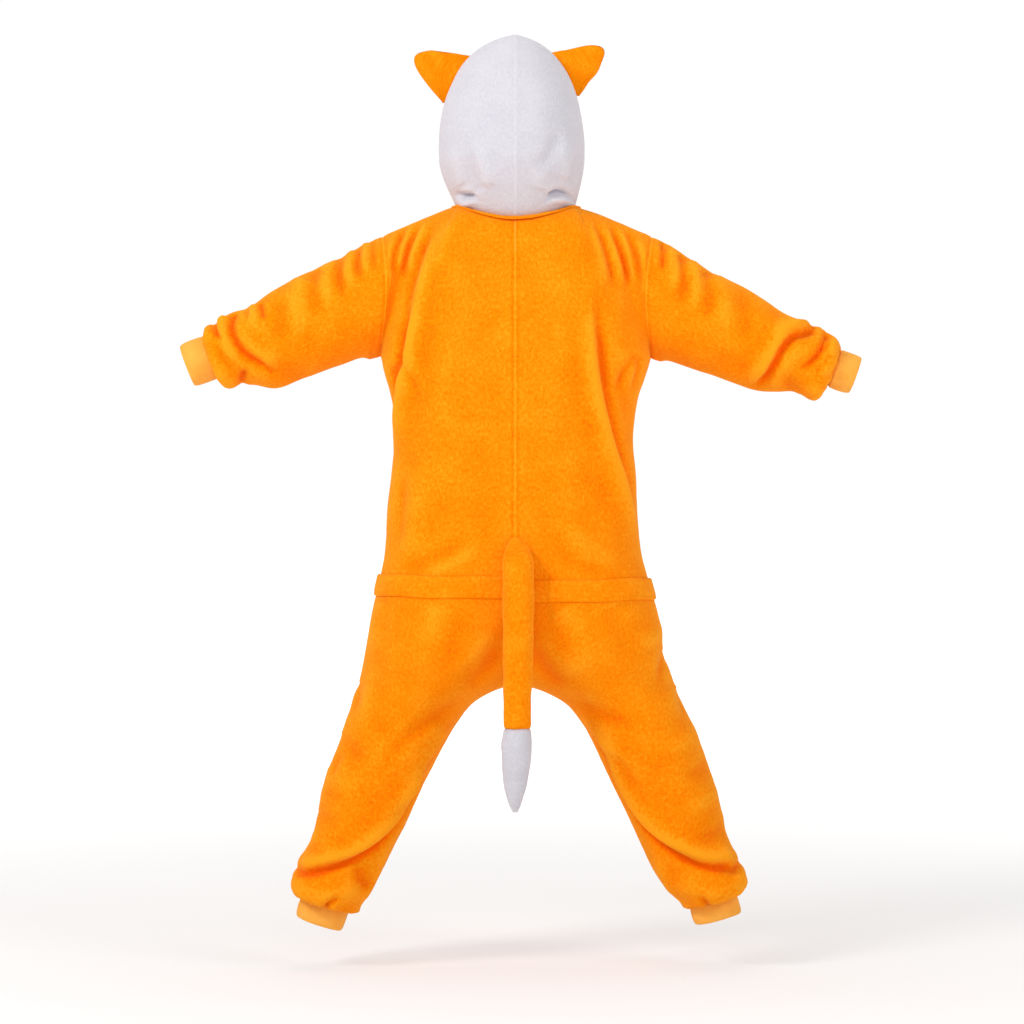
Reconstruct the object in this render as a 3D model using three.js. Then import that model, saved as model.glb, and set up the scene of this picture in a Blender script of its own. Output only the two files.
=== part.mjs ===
// A child's plush fox onesie, worn out on an empty general figure.
// Millimetres, +Z up, +Y towards the garment's front, +X towards the wearer's right.
// The origin is the centre of the neck opening, level with the shoulder-neck points.
import * as THREE from "three";
import { mergeVertices } from "three/addons/utils/BufferGeometryUtils.js";

// ---- driving dimensions ----
const CLOTH = 2.4;              // thickness of the plush
const RIB = 2.2;                // thickness of the knitted cuffs
const SEAM = 0.15;              // each panel stops this far short of its seam line
const PROUD = 0.35;             // gap under a piece that lies on a panel
const UNDERARM_Z = -192;
const CROTCH_Z = -605;
const SEAT_TOP_Z = -470;        // below this the trunk starts to fork into two legs
const WAIST_Z = -481;           // seam between the back and the trouser backs
const TRUNK_ROUND = 2.4;        // superellipse exponents of the sections
const LEG_ROUND = 2;
const ARMHOLE_DEPTH = 62;
const SHOULDER_SHARE = 0.5;     // part of a panel's top edge that is shoulder seam
const NECK = { left: 73, right: 76, back: 56, front: 62, backDrop: 18, frontDrop: 50 };
const SHOULDER = {
  left: { tip: 168, drop: 37 },
  right: { tip: 174, drop: 39 },
};

// ---- sections of the trunk, from the underarm to the crotch ----
const TRUNK = [
  { z: -192, left: 171, right: 172, back: 112, front: 108 },
  { z: -245, left: 159, right: 156, back: 113, front: 112 },
  { z: -309, left: 154, right: 151, back: 112, front: 114 },
  { z: -372, left: 160, right: 156, back: 112, front: 115 },
  { z: -436, left: 165, right: 160, back: 114, front: 115 },
  { z: -481, left: 174, right: 172, back: 117, front: 115 },
  { z: -525, left: 183, right: 184, back: 119, front: 114 },
  { z: -563, left: 190, right: 189, back: 114, front: 110 },
  { z: -605, left: 198, right: 203, back: 100, front: 98 },
];

// ---- rings of a leg, from the crotch to the cuff seam ----
// drop is below the crotch, outer and inner are distances from the middle, tilt in degrees
const LEGS = {
  left: [
    { drop: 0, outer: 198, inner: 0, tilt: 0, depth: 99 },
    { drop: 6, outer: 200, inner: 26, tilt: 1, depth: 95 },
    { drop: 20, outer: 204, inner: 54, tilt: 4, depth: 89 },
    { drop: 40, outer: 208, inner: 74, tilt: 9, depth: 84 },
    { drop: 65, outer: 216, inner: 91, tilt: 14, depth: 79 },
    { drop: 95, outer: 226, inner: 108, tilt: 17, depth: 75 },
    { drop: 125, outer: 235, inner: 123, tilt: 19, depth: 71 },
    { drop: 155, outer: 245, inner: 137, tilt: 20, depth: 67 },
    { drop: 185, outer: 252, inner: 152, tilt: 21, depth: 62 },
    { drop: 215, outer: 260, inner: 166, tilt: 21, depth: 57 },
    { drop: 245, outer: 277, inner: 182, tilt: 20, depth: 55 },
    { drop: 266, outer: 283, inner: 195, tilt: 19, depth: 53 },
    { drop: 277, outer: 279, inner: 199, tilt: 18, depth: 48 },
    { drop: 279, outer: 271, inner: 211, tilt: 18, depth: 33 },
  ],
  right: [
    { drop: 0, outer: 203, inner: 0, tilt: 0, depth: 99 },
    { drop: 6, outer: 206, inner: 32, tilt: 1, depth: 95 },
    { drop: 20, outer: 210, inner: 65, tilt: 4, depth: 89 },
    { drop: 40, outer: 216, inner: 85, tilt: 9, depth: 84 },
    { drop: 65, outer: 225, inner: 101, tilt: 14, depth: 79 },
    { drop: 95, outer: 236, inner: 116, tilt: 17, depth: 75 },
    { drop: 125, outer: 247, inner: 131, tilt: 19, depth: 71 },
    { drop: 155, outer: 255, inner: 146, tilt: 20, depth: 67 },
    { drop: 185, outer: 264, inner: 160, tilt: 21, depth: 62 },
    { drop: 215, outer: 272, inner: 174, tilt: 21, depth: 58 },
    { drop: 245, outer: 288, inner: 193, tilt: 20, depth: 56 },
    { drop: 262, outer: 293, inner: 208, tilt: 19, depth: 53 },
    { drop: 273, outer: 288, inner: 214, tilt: 18, depth: 47 },
    { drop: 275, outer: 281, inner: 223, tilt: 18, depth: 32 },
  ],
};

// ---- rings of a sleeve, along its axis from the armhole to the cuff seam ----
// up and down are the reach above and below the axis, depth the half depth
const SLEEVE_AXIS = {
  left: { from: [-165, -118], to: [-387, -191] },
  right: { from: [168, -118], to: [407, -205] },
};
const SLEEVES = {
  left: [
    { along: 22, up: 68, down: 69, depth: 62 },
    { along: 50, up: 67, down: 62, depth: 61 },
    { along: 80, up: 64, down: 62, depth: 60 },
    { along: 110, up: 59, down: 62, depth: 58 },
    { along: 140, up: 53, down: 64, depth: 56 },
    { along: 168, up: 45, down: 63, depth: 52 },
    { along: 190, up: 46, down: 51, depth: 47 },
    { along: 210, up: 40, down: 43, depth: 42 },
    { along: 226, up: 36, down: 40, depth: 37 },
    { along: 232, up: 27, down: 28, depth: 27 },
  ],
  right: [
    { along: 22, up: 66, down: 68, depth: 62 },
    { along: 50, up: 63, down: 63, depth: 61 },
    { along: 80, up: 59, down: 62, depth: 60 },
    { along: 110, up: 57, down: 62, depth: 58 },
    { along: 140, up: 51, down: 62, depth: 56 },
    { along: 170, up: 43, down: 61, depth: 52 },
    { along: 198, up: 39, down: 53, depth: 47 },
    { along: 222, up: 41, down: 47, depth: 42 },
    { along: 244, up: 34, down: 46, depth: 36 },
    { along: 253, up: 24, down: 25, depth: 24 },
  ],
};
const ARMHOLE_BLEND = 62;       // the armhole's own shape has faded out this far along

// ---- cuffs, from the seam to the open end ----
const CUFFS = [
  { name: "wrist_cuff_left", from: [-388, -191.5], to: [-416, -202], radius: 28, end: 28 },
  { name: "wrist_cuff_right", from: [408, -205.5], to: [432, -214], radius: 24.5, end: 24.5 },
  { name: "ankle_cuff_left", from: [-241, -885], to: [-249, -909], radius: 31, end: 31 },
  { name: "ankle_cuff_right", from: [252, -881], to: [258, -903], radius: 30, end: 31 },
];

// ---- hood ----
const HOOD = {
  mid: 75, top: 212, left: 97, right: 88, neckZone: 60, back: 98, face: 92, round: 2.25,
};
const CROWN = { backShare: 0.42, faceShare: 0.66, browDrop: 20 };
const FACE_EDGE = 0.74;         // the face opening's half width, as a share of the hood's
const BINDING = { from: 5, to: 12, thick: 1.5, gap: 1.2 };

// ---- ears: root ends and tip, in the plane of the shoulders ----
const EARS = [
  { name: "ear_left", top: [-60, 193], bottom: [-91, 131], corner: [-151, 206] },
  { name: "ear_right", top: [53, 197], bottom: [81, 140], corner: [136, 217] },
];
const EAR_PAD = 8;              // half thickness in the middle
const EAR_Y = 2;
const EAR_ROUND = 60;           // how much of each side the rounded tip takes

// ---- tail: width and the distance of its middle behind the origin, by height ----
const TAIL = [
  { z: -419, x: 0, half: 3, thick: 3, behind: 121 },
  { z: -428, x: 2, half: 12.5, thick: 7, behind: 125 },
  { z: -442, x: 3, half: 18, thick: 13, behind: 133 },
  { z: -467, x: 4, half: 19.3, thick: 17, behind: 141 },
  { z: -520, x: 4, half: 19.6, thick: 18.5, behind: 146 },
  { z: -593, x: 3, half: 18, thick: 17.5, behind: 148 },
  { z: -652.5, x: 3, half: 17.5, thick: 17, behind: 149 },
  { z: -676, x: 2, half: 19.2, thick: 18.5, behind: 149 },
  { z: -699, x: 1, half: 17.6, thick: 17, behind: 149 },
  { z: -722, x: 0, half: 14, thick: 13.5, behind: 149 },
  { z: -742, x: 0, half: 9, thick: 8.6, behind: 149 },
  { z: -755, x: 0, half: 3, thick: 3, behind: 149 },
];
const TAIL_JOIN_Z = -652.5;

// ---- the band across the back, the front placket and its buttons ----
const BAND = { left: { top: -468, bottom: -492 }, right: { top: -473, bottom: -497 } };
const BAND_THICK = 3.6;
const PLACKET = { half: 17, top: 6, bottom: -430, thick: 3, gap: 2 };
const BUTTON = { radius: 8.5, height: 3.2, count: 5, first: -80, last: -405 };

// ---- colours ----
const plush = (color) => new THREE.MeshStandardMaterial({ color, roughness: 0.95, metalness: 0 });
const ORANGE = plush(0xfc9a0b);
const WHITE = plush(0xe9e6ee);
const RIB_ORANGE = plush(0xfca848);
const BUTTON_ORANGE = new THREE.MeshStandardMaterial({ color: 0xe9871a, roughness: 0.4 });

// ---- small helpers ----
const clamp = (value, low = 0, high = 1) => Math.min(high, Math.max(low, value));
const mix = (a, b, share) => a + (b - a) * share;
const ease = (share) => clamp(share) ** 2 * (3 - 2 * clamp(share));
const power = (value, exponent) => Math.sign(value) * Math.abs(value) ** exponent;
const radians = THREE.MathUtils.degToRad;
const V = (x, y, z) => new THREE.Vector3(x, y, z);
const sideName = (side) => (side < 0 ? "left" : "right");
const range = (from, to, steps) =>
  Array.from({ length: steps + 1 }, (_, i) => mix(from, to, i / steps));

/** Reads one column of a table at a place, with a smooth curve through its rows. */
function column(rows, key, name, at) {
  const rising = rows[rows.length - 1][key] > rows[0][key] ? 1 : -1;
  let i = 0;
  while (i < rows.length - 2 && (at - rows[i + 1][key]) * rising > 0) i += 1;
  const share = clamp((at - rows[i][key]) / (rows[i + 1][key] - rows[i][key]));
  const slope = (j) => {
    const low = Math.max(0, j - 1);
    const high = Math.min(rows.length - 1, j + 1);
    return (rows[high][name] - rows[low][name]) / (rows[high][key] - rows[low][key]);
  };
  const span = rows[i + 1][key] - rows[i][key];
  const [a, b] = [rows[i][name], rows[i + 1][name]];
  const s2 = share * share;
  const s3 = s2 * share;
  return (2 * s3 - 3 * s2 + 1) * a + (s3 - 2 * s2 + share) * span * slope(i)
    + (3 * s2 - 2 * s3) * b + (s3 - s2) * span * slope(i + 1);
}

// ---- the body's surface ----
/** A point of the trunk: u runs from the side seam to the middle, z is its height. */
function trunkPoint(side, half, u, z) {
  const outer = column(TRUNK, "z", sideName(side), z);
  const depth = column(TRUNK, "z", half < 0 ? "back" : "front", z);
  const fork = clamp((SEAT_TOP_Z - z) / (SEAT_TOP_Z - CROTCH_Z));
  const round = mix(TRUNK_ROUND, LEG_ROUND, fork);
  const angle = u * Math.acos(-(fork ** (round / 2)));
  const reach = outer / (1 + fork);
  const x = side * reach * (fork + power(Math.cos(angle), 2 / round));
  return V(x, half * depth * power(Math.max(0, Math.sin(angle)), 2 / round), z);
}

/** A point of a leg: row runs from 0 at the crotch to the number of the cuff seam's ring. */
function legPoint(side, half, u, row) {
  const rings = LEGS[sideName(side)].map((ring, index) => ({ ...ring, index }));
  const at = (name) => column(rings, "index", name, row);
  const reach = (at("outer") - at("inner")) / 2;
  const across = reach * Math.cos(u * Math.PI);
  return V(
    side * ((at("outer") + at("inner")) / 2 + across),
    half * at("depth") * Math.sin(u * Math.PI),
    CROTCH_Z - at("drop") + across * Math.tan(radians(at("tilt"))),
  );
}

/** The neckline: turn runs from 0 at the shoulder to 1 at the middle. */
function necklinePoint(side, half, turn) {
  const angle = (turn * Math.PI) / 2;
  const depth = half < 0 ? NECK.back : NECK.front;
  const drop = half < 0 ? NECK.backDrop : NECK.frontDrop;
  return V(
    side * NECK[sideName(side)] * Math.cos(angle),
    half * depth * Math.sin(angle),
    -drop * Math.sin(angle) ** 2,
  );
}

/** The top edge of a body panel: shoulder seam, then neckline. */
function topEdge(side, half, u) {
  const { tip, drop } = SHOULDER[sideName(side)];
  if (u >= SHOULDER_SHARE) {
    return necklinePoint(side, half, (u - SHOULDER_SHARE) / (1 - SHOULDER_SHARE));
  }
  const share = u / SHOULDER_SHARE;
  return V(side * mix(tip, NECK[sideName(side)], share), 0, -drop * (1 - share) ** 1.15);
}

/** A point above the underarm: climb runs from 0 at the underarm to 1 at the top edge. */
function yokePoint(side, half, u, climb) {
  const low = trunkPoint(side, half, u, UNDERARM_Z);
  const high = topEdge(side, half, u);
  const arm = (1 - Math.cos(Math.PI * climb)) / 2;
  const middle = Math.sin((Math.PI * climb) / 2) ** 1.05;
  const height = mix(arm, middle, ease(u / 0.35));
  const lean = 0.5 * ease((u - SHOULDER_SHARE) / (1 - SHOULDER_SHARE));
  const roll = mix((1 - height ** 2.4) ** (1 / 2.4), 1 - height, lean);
  const body = Math.abs(mix(high.y, low.y, roll));
  const pointed = 0.5 + 0.3 * (1 - height) ** 2;
  const armhole = ARMHOLE_DEPTH * (4 * height * (1 - height)) ** pointed * (1 - ease(u / 0.6));
  const bow = 9 * Math.sin(Math.PI * height) * (1 - u) ** 3;
  return V(
    mix(low.x, high.x, height ** 1.6) - side * bow,
    half * (armhole ** 3 + body ** 3) ** (1 / 3),
    mix(low.z, high.z, height),
  );
}

/** The whole body panel: level 0..1 is the leg, 1..2 the trunk and 2..3 the yoke. */
function bodyPoint(side, half, u, level) {
  const lastRing = LEGS[sideName(side)].length - 1;
  if (level < 1) return legPoint(side, half, u, (1 - level) * lastRing);
  if (level <= 2) return trunkPoint(side, half, u, mix(CROTCH_Z, UNDERARM_Z, level - 1));
  return yokePoint(side, half, u, level - 2);
}
const levelOfHeight = (z) => 1 + (z - CROTCH_Z) / (UNDERARM_Z - CROTCH_Z);

/** The outward normal of the body, square to a seam where the panel meets its neighbour. */
function bodyNormal(side, half, u, level) {
  const step = 0.002;
  const du = bodyPoint(side, half, clamp(u + step), level)
    .sub(bodyPoint(side, half, clamp(u - step), level));
  const dv = bodyPoint(side, half, u, clamp(level + step, 0, 3))
    .sub(bodyPoint(side, half, u, clamp(level - step, 0, 3)));
  const normal = du.cross(dv).multiplyScalar(side * half);
  const nearCrotch = Math.abs(level - 1) < 0.004 && u > 0.999;
  if (nearCrotch) return V(0, 0, -1);
  if (u < 0.001 && level <= 2.001) normal.y = 0;
  if (u > 0.999 && level > 1) normal.x = 0;
  if (u > 0.999 && level < 1) normal.y = 0;
  if (level > 2.999 && u <= SHOULDER_SHARE) normal.y = 0;
  if (level > 2 && u < 0.001) {
    const point = bodyPoint(side, half, u, level);
    const { drop } = SHOULDER[sideName(side)];
    normal.set(0, point.y, point.z - (UNDERARM_Z - drop) / 2);
  }
  return normal.normalize();
}

/** A point of a sleeve: turn 0..1 goes from the underarm round the back and over the top. */
function sleevePoint(side, half, climb, along) {
  const rows = SLEEVES[sideName(side)];
  const { from, to } = SLEEVE_AXIS[sideName(side)];
  const axis = V(to[0] - from[0], 0, to[1] - from[1]).normalize();
  const up = V(-axis.z * side, 0, axis.x * side);
  const height = -Math.cos(Math.PI * climb);
  const place = clamp(along, rows[0].along, rows[rows.length - 1].along);
  const at = (name) => column(rows, "along", name, place);
  const ring = (distance) => V(from[0], 0, from[1])
    .addScaledVector(axis, distance)
    .addScaledVector(up, height > 0 ? height * at("up") : height * at("down"))
    .add(V(0, half * at("depth") * Math.sin(Math.PI * climb), 0));
  const seamPoint = yokePoint(side, half, 0, climb);
  const flatRing = ring(0);
  const share = 1 - ease(along / ARMHOLE_BLEND);
  return ring(along).addScaledVector(seamPoint.sub(flatRing), share);
}

// ---- solids from grids ----
/** Makes one closed wall. outer and inner are grids of points, closed joins a row's ends. */
function wallMesh(name, material, outer, inner, closed = false) {
  const rows = outer.length;
  const columns = outer[0].length;
  const points = [...outer.flat(), ...inner.flat()];
  const at = (layer, i, j) => layer * rows * columns + i * columns + (j % columns);
  const faces = [];
  const quad = (a, b, c, d) => faces.push([a, b, c], [a, c, d]);
  const lastColumn = closed ? columns : columns - 1;
  for (let i = 0; i < rows - 1; i += 1) {
    for (let j = 0; j < lastColumn; j += 1) {
      quad(at(0, i, j), at(0, i, j + 1), at(0, i + 1, j + 1), at(0, i + 1, j));
      quad(at(1, i, j), at(1, i + 1, j), at(1, i + 1, j + 1), at(1, i, j + 1));
    }
  }
  for (let j = 0; j < lastColumn; j += 1) {
    quad(at(1, 0, j), at(1, 0, j + 1), at(0, 0, j + 1), at(0, 0, j));
    quad(at(0, rows - 1, j), at(0, rows - 1, j + 1), at(1, rows - 1, j + 1), at(1, rows - 1, j));
  }
  for (let i = 0; !closed && i < rows - 1; i += 1) {
    const end = columns - 1;
    quad(at(0, i, 0), at(0, i + 1, 0), at(1, i + 1, 0), at(1, i, 0));
    quad(at(0, i + 1, end), at(0, i, end), at(1, i, end), at(1, i + 1, end));
  }
  return solidMesh(name, material, points, faces);
}

/** Turns points and triangles into a mesh whose faces point out. */
function solidMesh(name, material, points, faces) {
  let volume = 0;
  for (const [a, b, c] of faces) {
    volume += points[a].dot(points[b].clone().cross(points[c]));
  }
  const ordered = volume < 0 ? faces.map(([a, b, c]) => [a, c, b]) : faces;
  const geometry = new THREE.BufferGeometry();
  geometry.setAttribute("position", new THREE.Float32BufferAttribute(
    points.flatMap((point) => point.toArray()), 3));
  geometry.setIndex(ordered.flat());
  const mesh = new THREE.Mesh(mergeVertices(geometry, 1e-4), material);
  mesh.name = name;
  return mesh;
}

/** Normals of a grid of points, from the neighbours of each point. */
function gridNormals(grid, closed, outward) {
  const rows = grid.length;
  const columns = grid[0].length;
  return grid.map((row, i) => row.map((point, j) => {
    const [before, after] = closed
      ? [row[(j + columns - 1) % columns], row[(j + 1) % columns]]
      : [row[Math.max(0, j - 1)], row[Math.min(columns - 1, j + 1)]];
    const below = grid[Math.max(0, i - 1)][j];
    const above = grid[Math.min(rows - 1, i + 1)][j];
    const normal = after.clone().sub(before).cross(above.clone().sub(below)).normalize();
    return normal.dot(outward(point, i, j)) < 0 ? normal.negate() : normal;
  }));
}

const moved = (grid, normals, distance) => grid.map((row, i) =>
  row.map((point, j) => point.clone().addScaledVector(normals[i][j], distance)));

/** A panel of the body between two columns and through the given levels. */
function bodyPanel(name, side, half, columns, levels, lift = 0, thick = CLOTH, material = ORANGE) {
  const grid = levels.map((level) => columns.map((u) => bodyPoint(side, half, u, level)));
  const normals = levels.map((level) => columns.map((u) => bodyNormal(side, half, u, level)));
  trimSeams(grid);
  const outer = moved(grid, normals, lift > 0 ? lift + thick : 0);
  const inner = moved(grid, normals, lift > 0 ? lift : -thick);
  return wallMesh(name, material, outer, inner);
}

/** Draws a grid's edges in, so that the panel stops just short of its seams. */
function trimSeams(grid) {
  const rows = grid.length;
  const end = grid[0].length - 1;
  const draw = (edge, next) => edge.add(next.clone().sub(edge).setLength(SEAM));
  grid.forEach((row) => {
    draw(row[0], row[1]);
    draw(row[end], row[end - 1]);
  });
  for (let j = 0; j <= end; j += 1) {
    draw(grid[0][j], grid[1][j]);
    draw(grid[rows - 1][j], grid[rows - 2][j]);
  }
}

// ---- pieces of the body ----
const COLUMNS = range(0, 1, 8);
const legLevels = (side) => {
  const last = LEGS[sideName(side)].length - 1;
  return range(0, last, last).slice(0, last).map((i) => i / last);
};
const YOKE_LEVELS = range(2, 3, 7);
const TRUNK_FRONT = [-605, -575, -540, -500, -450, -400, -345, -290, -240].map(levelOfHeight);
const seatLevels = (side) =>
  [-605, -585, -560, -530, BAND[sideName(side)].bottom, WAIST_Z].map(levelOfHeight);
const backLevels = (side) =>
  [WAIST_Z, BAND[sideName(side)].top, -430, -390, -345, -290, -240].map(levelOfHeight);

const onesie = new THREE.Group();
for (const side of [-1, 1]) {
  const which = sideName(side);
  onesie.add(
    bodyPanel(`back_${which}`, side, -1, COLUMNS, [...backLevels(side), ...YOKE_LEVELS]),
    bodyPanel(`leg_back_${which}`, side, -1, COLUMNS, [...legLevels(side), ...seatLevels(side)]),
    bodyPanel(`front_${which}`, side, 1, COLUMNS,
      [...legLevels(side), ...TRUNK_FRONT, ...YOKE_LEVELS]),
  );
}

// ---- sleeves ----
for (const side of [-1, 1]) {
  const climbs = range(0, 1, YOKE_LEVELS.length - 1);
  const round = [
    ...climbs.map((climb) => [-1, climb]),
    ...climbs.slice(1, -1).reverse().map((climb) => [1, climb]),
  ];
  const stations = [0, ...SLEEVES[sideName(side)].map((row) => row.along)];
  const grid = stations.map((along) =>
    round.map(([half, climb]) => sleevePoint(side, half, climb, along)));
  const { from, to } = SLEEVE_AXIS[sideName(side)];
  const axis = V(to[0] - from[0], 0, to[1] - from[1]).normalize();
  const centres = grid.map((row) => row
    .reduce((sum, point) => sum.add(point), V(0, 0, 0)).divideScalar(row.length));
  const normals = gridNormals(grid, true, (point, i) => point.clone().sub(centres[i]));
  const armholeMiddle = (UNDERARM_Z - SHOULDER[sideName(side)].drop) / 2;
  normals[0] = grid[0].map((point) => V(0, point.y, point.z - armholeMiddle).normalize());
  grid[0].forEach((point) => point.addScaledVector(axis, 2 * SEAM));
  onesie.add(wallMesh(`sleeve_${sideName(side)}`, ORANGE, grid, moved(grid, normals, -CLOTH), true));
}

// ---- cuffs ----
for (const { name, from, to, radius, end } of CUFFS) {
  const axis = V(to[0] - from[0], 0, to[1] - from[1]).normalize();
  const across = V(axis.z, 0, -axis.x);
  const ring = (share, inset) => range(0, 1, 16).slice(0, 16).map((turn) => {
    const reach = mix(radius, end, share) - inset;
    return V(mix(from[0], to[0], share), 0, mix(from[1], to[1], share))
      .addScaledVector(across, reach * Math.cos(turn * 2 * Math.PI))
      .add(V(0, reach * Math.sin(turn * 2 * Math.PI), 0));
  });
  const grid = (inset) => [0, 1].map((share) => ring(share, inset));
  onesie.add(wallMesh(name, RIB_ORANGE, grid(0), grid(RIB), true));
}

// ---- hood ----
/** A point of the hood: u from the middle back to the face edge, climb from neck to crown. */
function hoodPoint(side, u, climb) {
  const width = HOOD[sideName(side)];
  const rise = Math.sin((Math.PI / 2) * clamp((climb - 0.32) / 0.68));
  const z = climb < 0.32
    ? mix(0, HOOD.mid, climb / 0.32)
    : HOOD.mid + (HOOD.top - HOOD.mid) * rise;
  const closing = Math.cos((Math.PI / 2) * clamp((climb - 0.32) / 0.68)) ** (2 / HOOD.round);
  const neckShare = clamp(1 - z / HOOD.neckZone) ** 1.5;
  const neck = NECK[sideName(side)];
  const half = mix(width, neck, neckShare) * closing;
  const back = mix(mix(HOOD.back, NECK.back, neckShare), HOOD.back * CROWN.backShare, 1 - closing);
  const face = mix(mix(HOOD.face, NECK.front, neckShare), HOOD.face * CROWN.faceShare, 1 - closing);
  const turn = u * 2;
  const backZ = -NECK.backDrop * neckShare;
  const faceZ = mix(-CROWN.browDrop * (1 - closing) ** 2, -NECK.frontDrop, neckShare);
  if (turn <= 1) {
    const angle = (turn * Math.PI) / 2;
    const fuller = mix(0.9, 1, neckShare);
    return V(side * half * Math.sin(angle) ** fuller, -back * Math.cos(angle) ** fuller,
      z + backZ * Math.cos(angle) ** 2);
  }
  const angle = ((turn - 1) * Math.PI) / 2;
  const edge = mix(FACE_EDGE, 0, neckShare);
  const inward = (1 - Math.cos(angle)) ** mix(1.2, 1, neckShare);
  return V(side * half * mix(1, edge, inward), face * Math.sin(angle),
    z + faceZ * Math.sin(angle) ** 2);
}
/** The hood's normals, square to the middle seam. */
function hoodNormals(grid) {
  const normals = gridNormals(grid, false, (point) => V(point.x, point.y, point.z - 60));
  normals.forEach((row, i) => {
    row[0].setX(0).normalize();
    if (i === normals.length - 1) row.forEach((normal) => normal.set(0, 0, 1));
  });
  return normals;
}
const HOOD_CLIMBS = [0, 0.05, 0.12, 0.21, 0.33, 0.45, 0.58, 0.7, 0.81, 0.91, 1];
const HOOD_COLUMNS = range(0, 1, 8);
const hoodGrid = (side, columns, climbs) => {
  const grid = climbs.map((climb) => columns.map((u) => hoodPoint(side, u, climb)));
  grid.forEach((row) => row.forEach((point) => {
    point.x = side * Math.max(SEAM, Math.abs(point.x));
  }));
  return grid;
};
const hoods = {};
for (const side of [-1, 1]) {
  const grid = hoodGrid(side, HOOD_COLUMNS, HOOD_CLIMBS);
  const normals = hoodNormals(grid);
  hoods[sideName(side)] = { grid: grid.map((row) => row.map((point) => point.clone())), normals };
  const inner = moved(grid, normals, -CLOTH);
  grid[0].forEach((point) => { point.z += 2 * SEAM; });
  inner[0].forEach((point, j) => { point.z = grid[0][j].z; });
  inner.flat().forEach((point) => { point.x = side * Math.max(SEAM, side * point.x); });
  inner.forEach((row) => { row[0].x = side * SEAM; });
  inner.at(-1).forEach((point) => { point.x = side * SEAM; });
  onesie.add(wallMesh(`hood_${sideName(side)}`, WHITE, grid, inner));
}

// the turned hem lies on the hood along its face edge
for (const side of [-1, 1]) {
  const { grid, normals } = hoods[sideName(side)];
  const part = (rows) => rows.slice(2, -1).map((row) => row.slice(-2));
  onesie.add(wallMesh(`hood_hem_${sideName(side)}`, WHITE,
    moved(part(grid), part(normals), PROUD + CLOTH), moved(part(grid), part(normals), PROUD)));
}

// ---- neck binding: a strip along the back neckline, from shoulder seam to shoulder seam ----
{
  const strip = (side) => [0.5, 0.625, 0.75, 0.875, 1].map((u) => {
    const edge = topEdge(side, -1, u);
    const below = u === 0.5 ? topEdge(side, -1, 0.375) : bodyPoint(side, -1, u, YOKE_LEVELS.at(-2));
    const way = below.clone().sub(edge).normalize();
    const normal = bodyNormal(side, -1, u, 3);
    const narrow = u === 0.5 ? 0.6 : 1;
    return [BINDING.to, BINDING.from].map((reach) => ({
      point: edge.clone().addScaledVector(way, reach * narrow), normal,
    }));
  });
  const columns = [...strip(-1), ...strip(1).slice(0, -1).reverse()];
  const layer = (lift) => [0, 1].map((row) =>
    columns.map((entry) => entry[row].point.clone().addScaledVector(entry[row].normal, lift)));
  onesie.add(wallMesh("neck_binding", ORANGE,
    layer(BINDING.gap + BINDING.thick), layer(BINDING.gap)));
}

// ---- seat band, front placket and buttons ----
for (const side of [-1, 1]) {
  const { top, bottom } = BAND[sideName(side)];
  const levels = [bottom, WAIST_Z, top].map(levelOfHeight);
  onesie.add(bodyPanel(`seat_band_${sideName(side)}`, side, -1, COLUMNS, levels, PROUD, BAND_THICK));
}

function placketPoint(x, z) {
  const side = x < 0 ? -1 : 1;
  let [low, high] = [0, 1];
  const level = levelOfHeight(z);
  for (let i = 0; i < 40; i += 1) {
    const u = (low + high) / 2;
    const point = level <= 2
      ? bodyPoint(side, 1, u, level)
      : frontAtHeight(side, u, z);
    if (Math.abs(point.x) > Math.abs(x)) low = u;
    else high = u;
  }
  return level <= 2 ? bodyPoint(side, 1, high, level) : frontAtHeight(side, high, z);
}
/** The front yoke's point in one column at a height. */
function frontAtHeight(side, u, z) {
  let [low, high] = [0, 1];
  for (let i = 0; i < 40; i += 1) {
    const climb = (low + high) / 2;
    if (yokePoint(side, 1, u, climb).z < z) low = climb;
    else high = climb;
  }
  return yokePoint(side, 1, u, high);
}
{
  const top = -NECK.frontDrop - PLACKET.top;
  const heights = range(PLACKET.bottom, top, 9);
  const across = [-PLACKET.half, -PLACKET.half / 2, 0, PLACKET.half / 2, PLACKET.half];
  const grid = heights.map((z) => across.map((x) => placketPoint(x, z)));
  const normals = gridNormals(grid, false, () => V(0, 1, 0));
  const lifted = (distance) => moved(grid, normals, distance);
  onesie.add(wallMesh("front_placket", ORANGE,
    lifted(PLACKET.gap + PLACKET.thick), lifted(PLACKET.gap)));

  for (const [index, z] of range(BUTTON.first, BUTTON.last, BUTTON.count - 1).entries()) {
    const here = placketPoint(0, z);
    const slope = placketPoint(0, z + 5).sub(placketPoint(0, z - 5)).normalize();
    const normal = V(1, 0, 0).cross(slope).normalize();
    if (normal.y < 0) normal.negate();
    const disc = new THREE.CylinderGeometry(BUTTON.radius, BUTTON.radius, BUTTON.height, 18);
    const button = new THREE.Mesh(disc, BUTTON_ORANGE);
    const lift = PLACKET.gap + PLACKET.thick + 2 * PROUD + BUTTON.height / 2;
    button.name = `button_${index + 1}`;
    button.position.copy(here.addScaledVector(normal, lift));
    button.quaternion.setFromUnitVectors(V(0, 1, 0), normal);
    onesie.add(button);
  }
}

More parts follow.
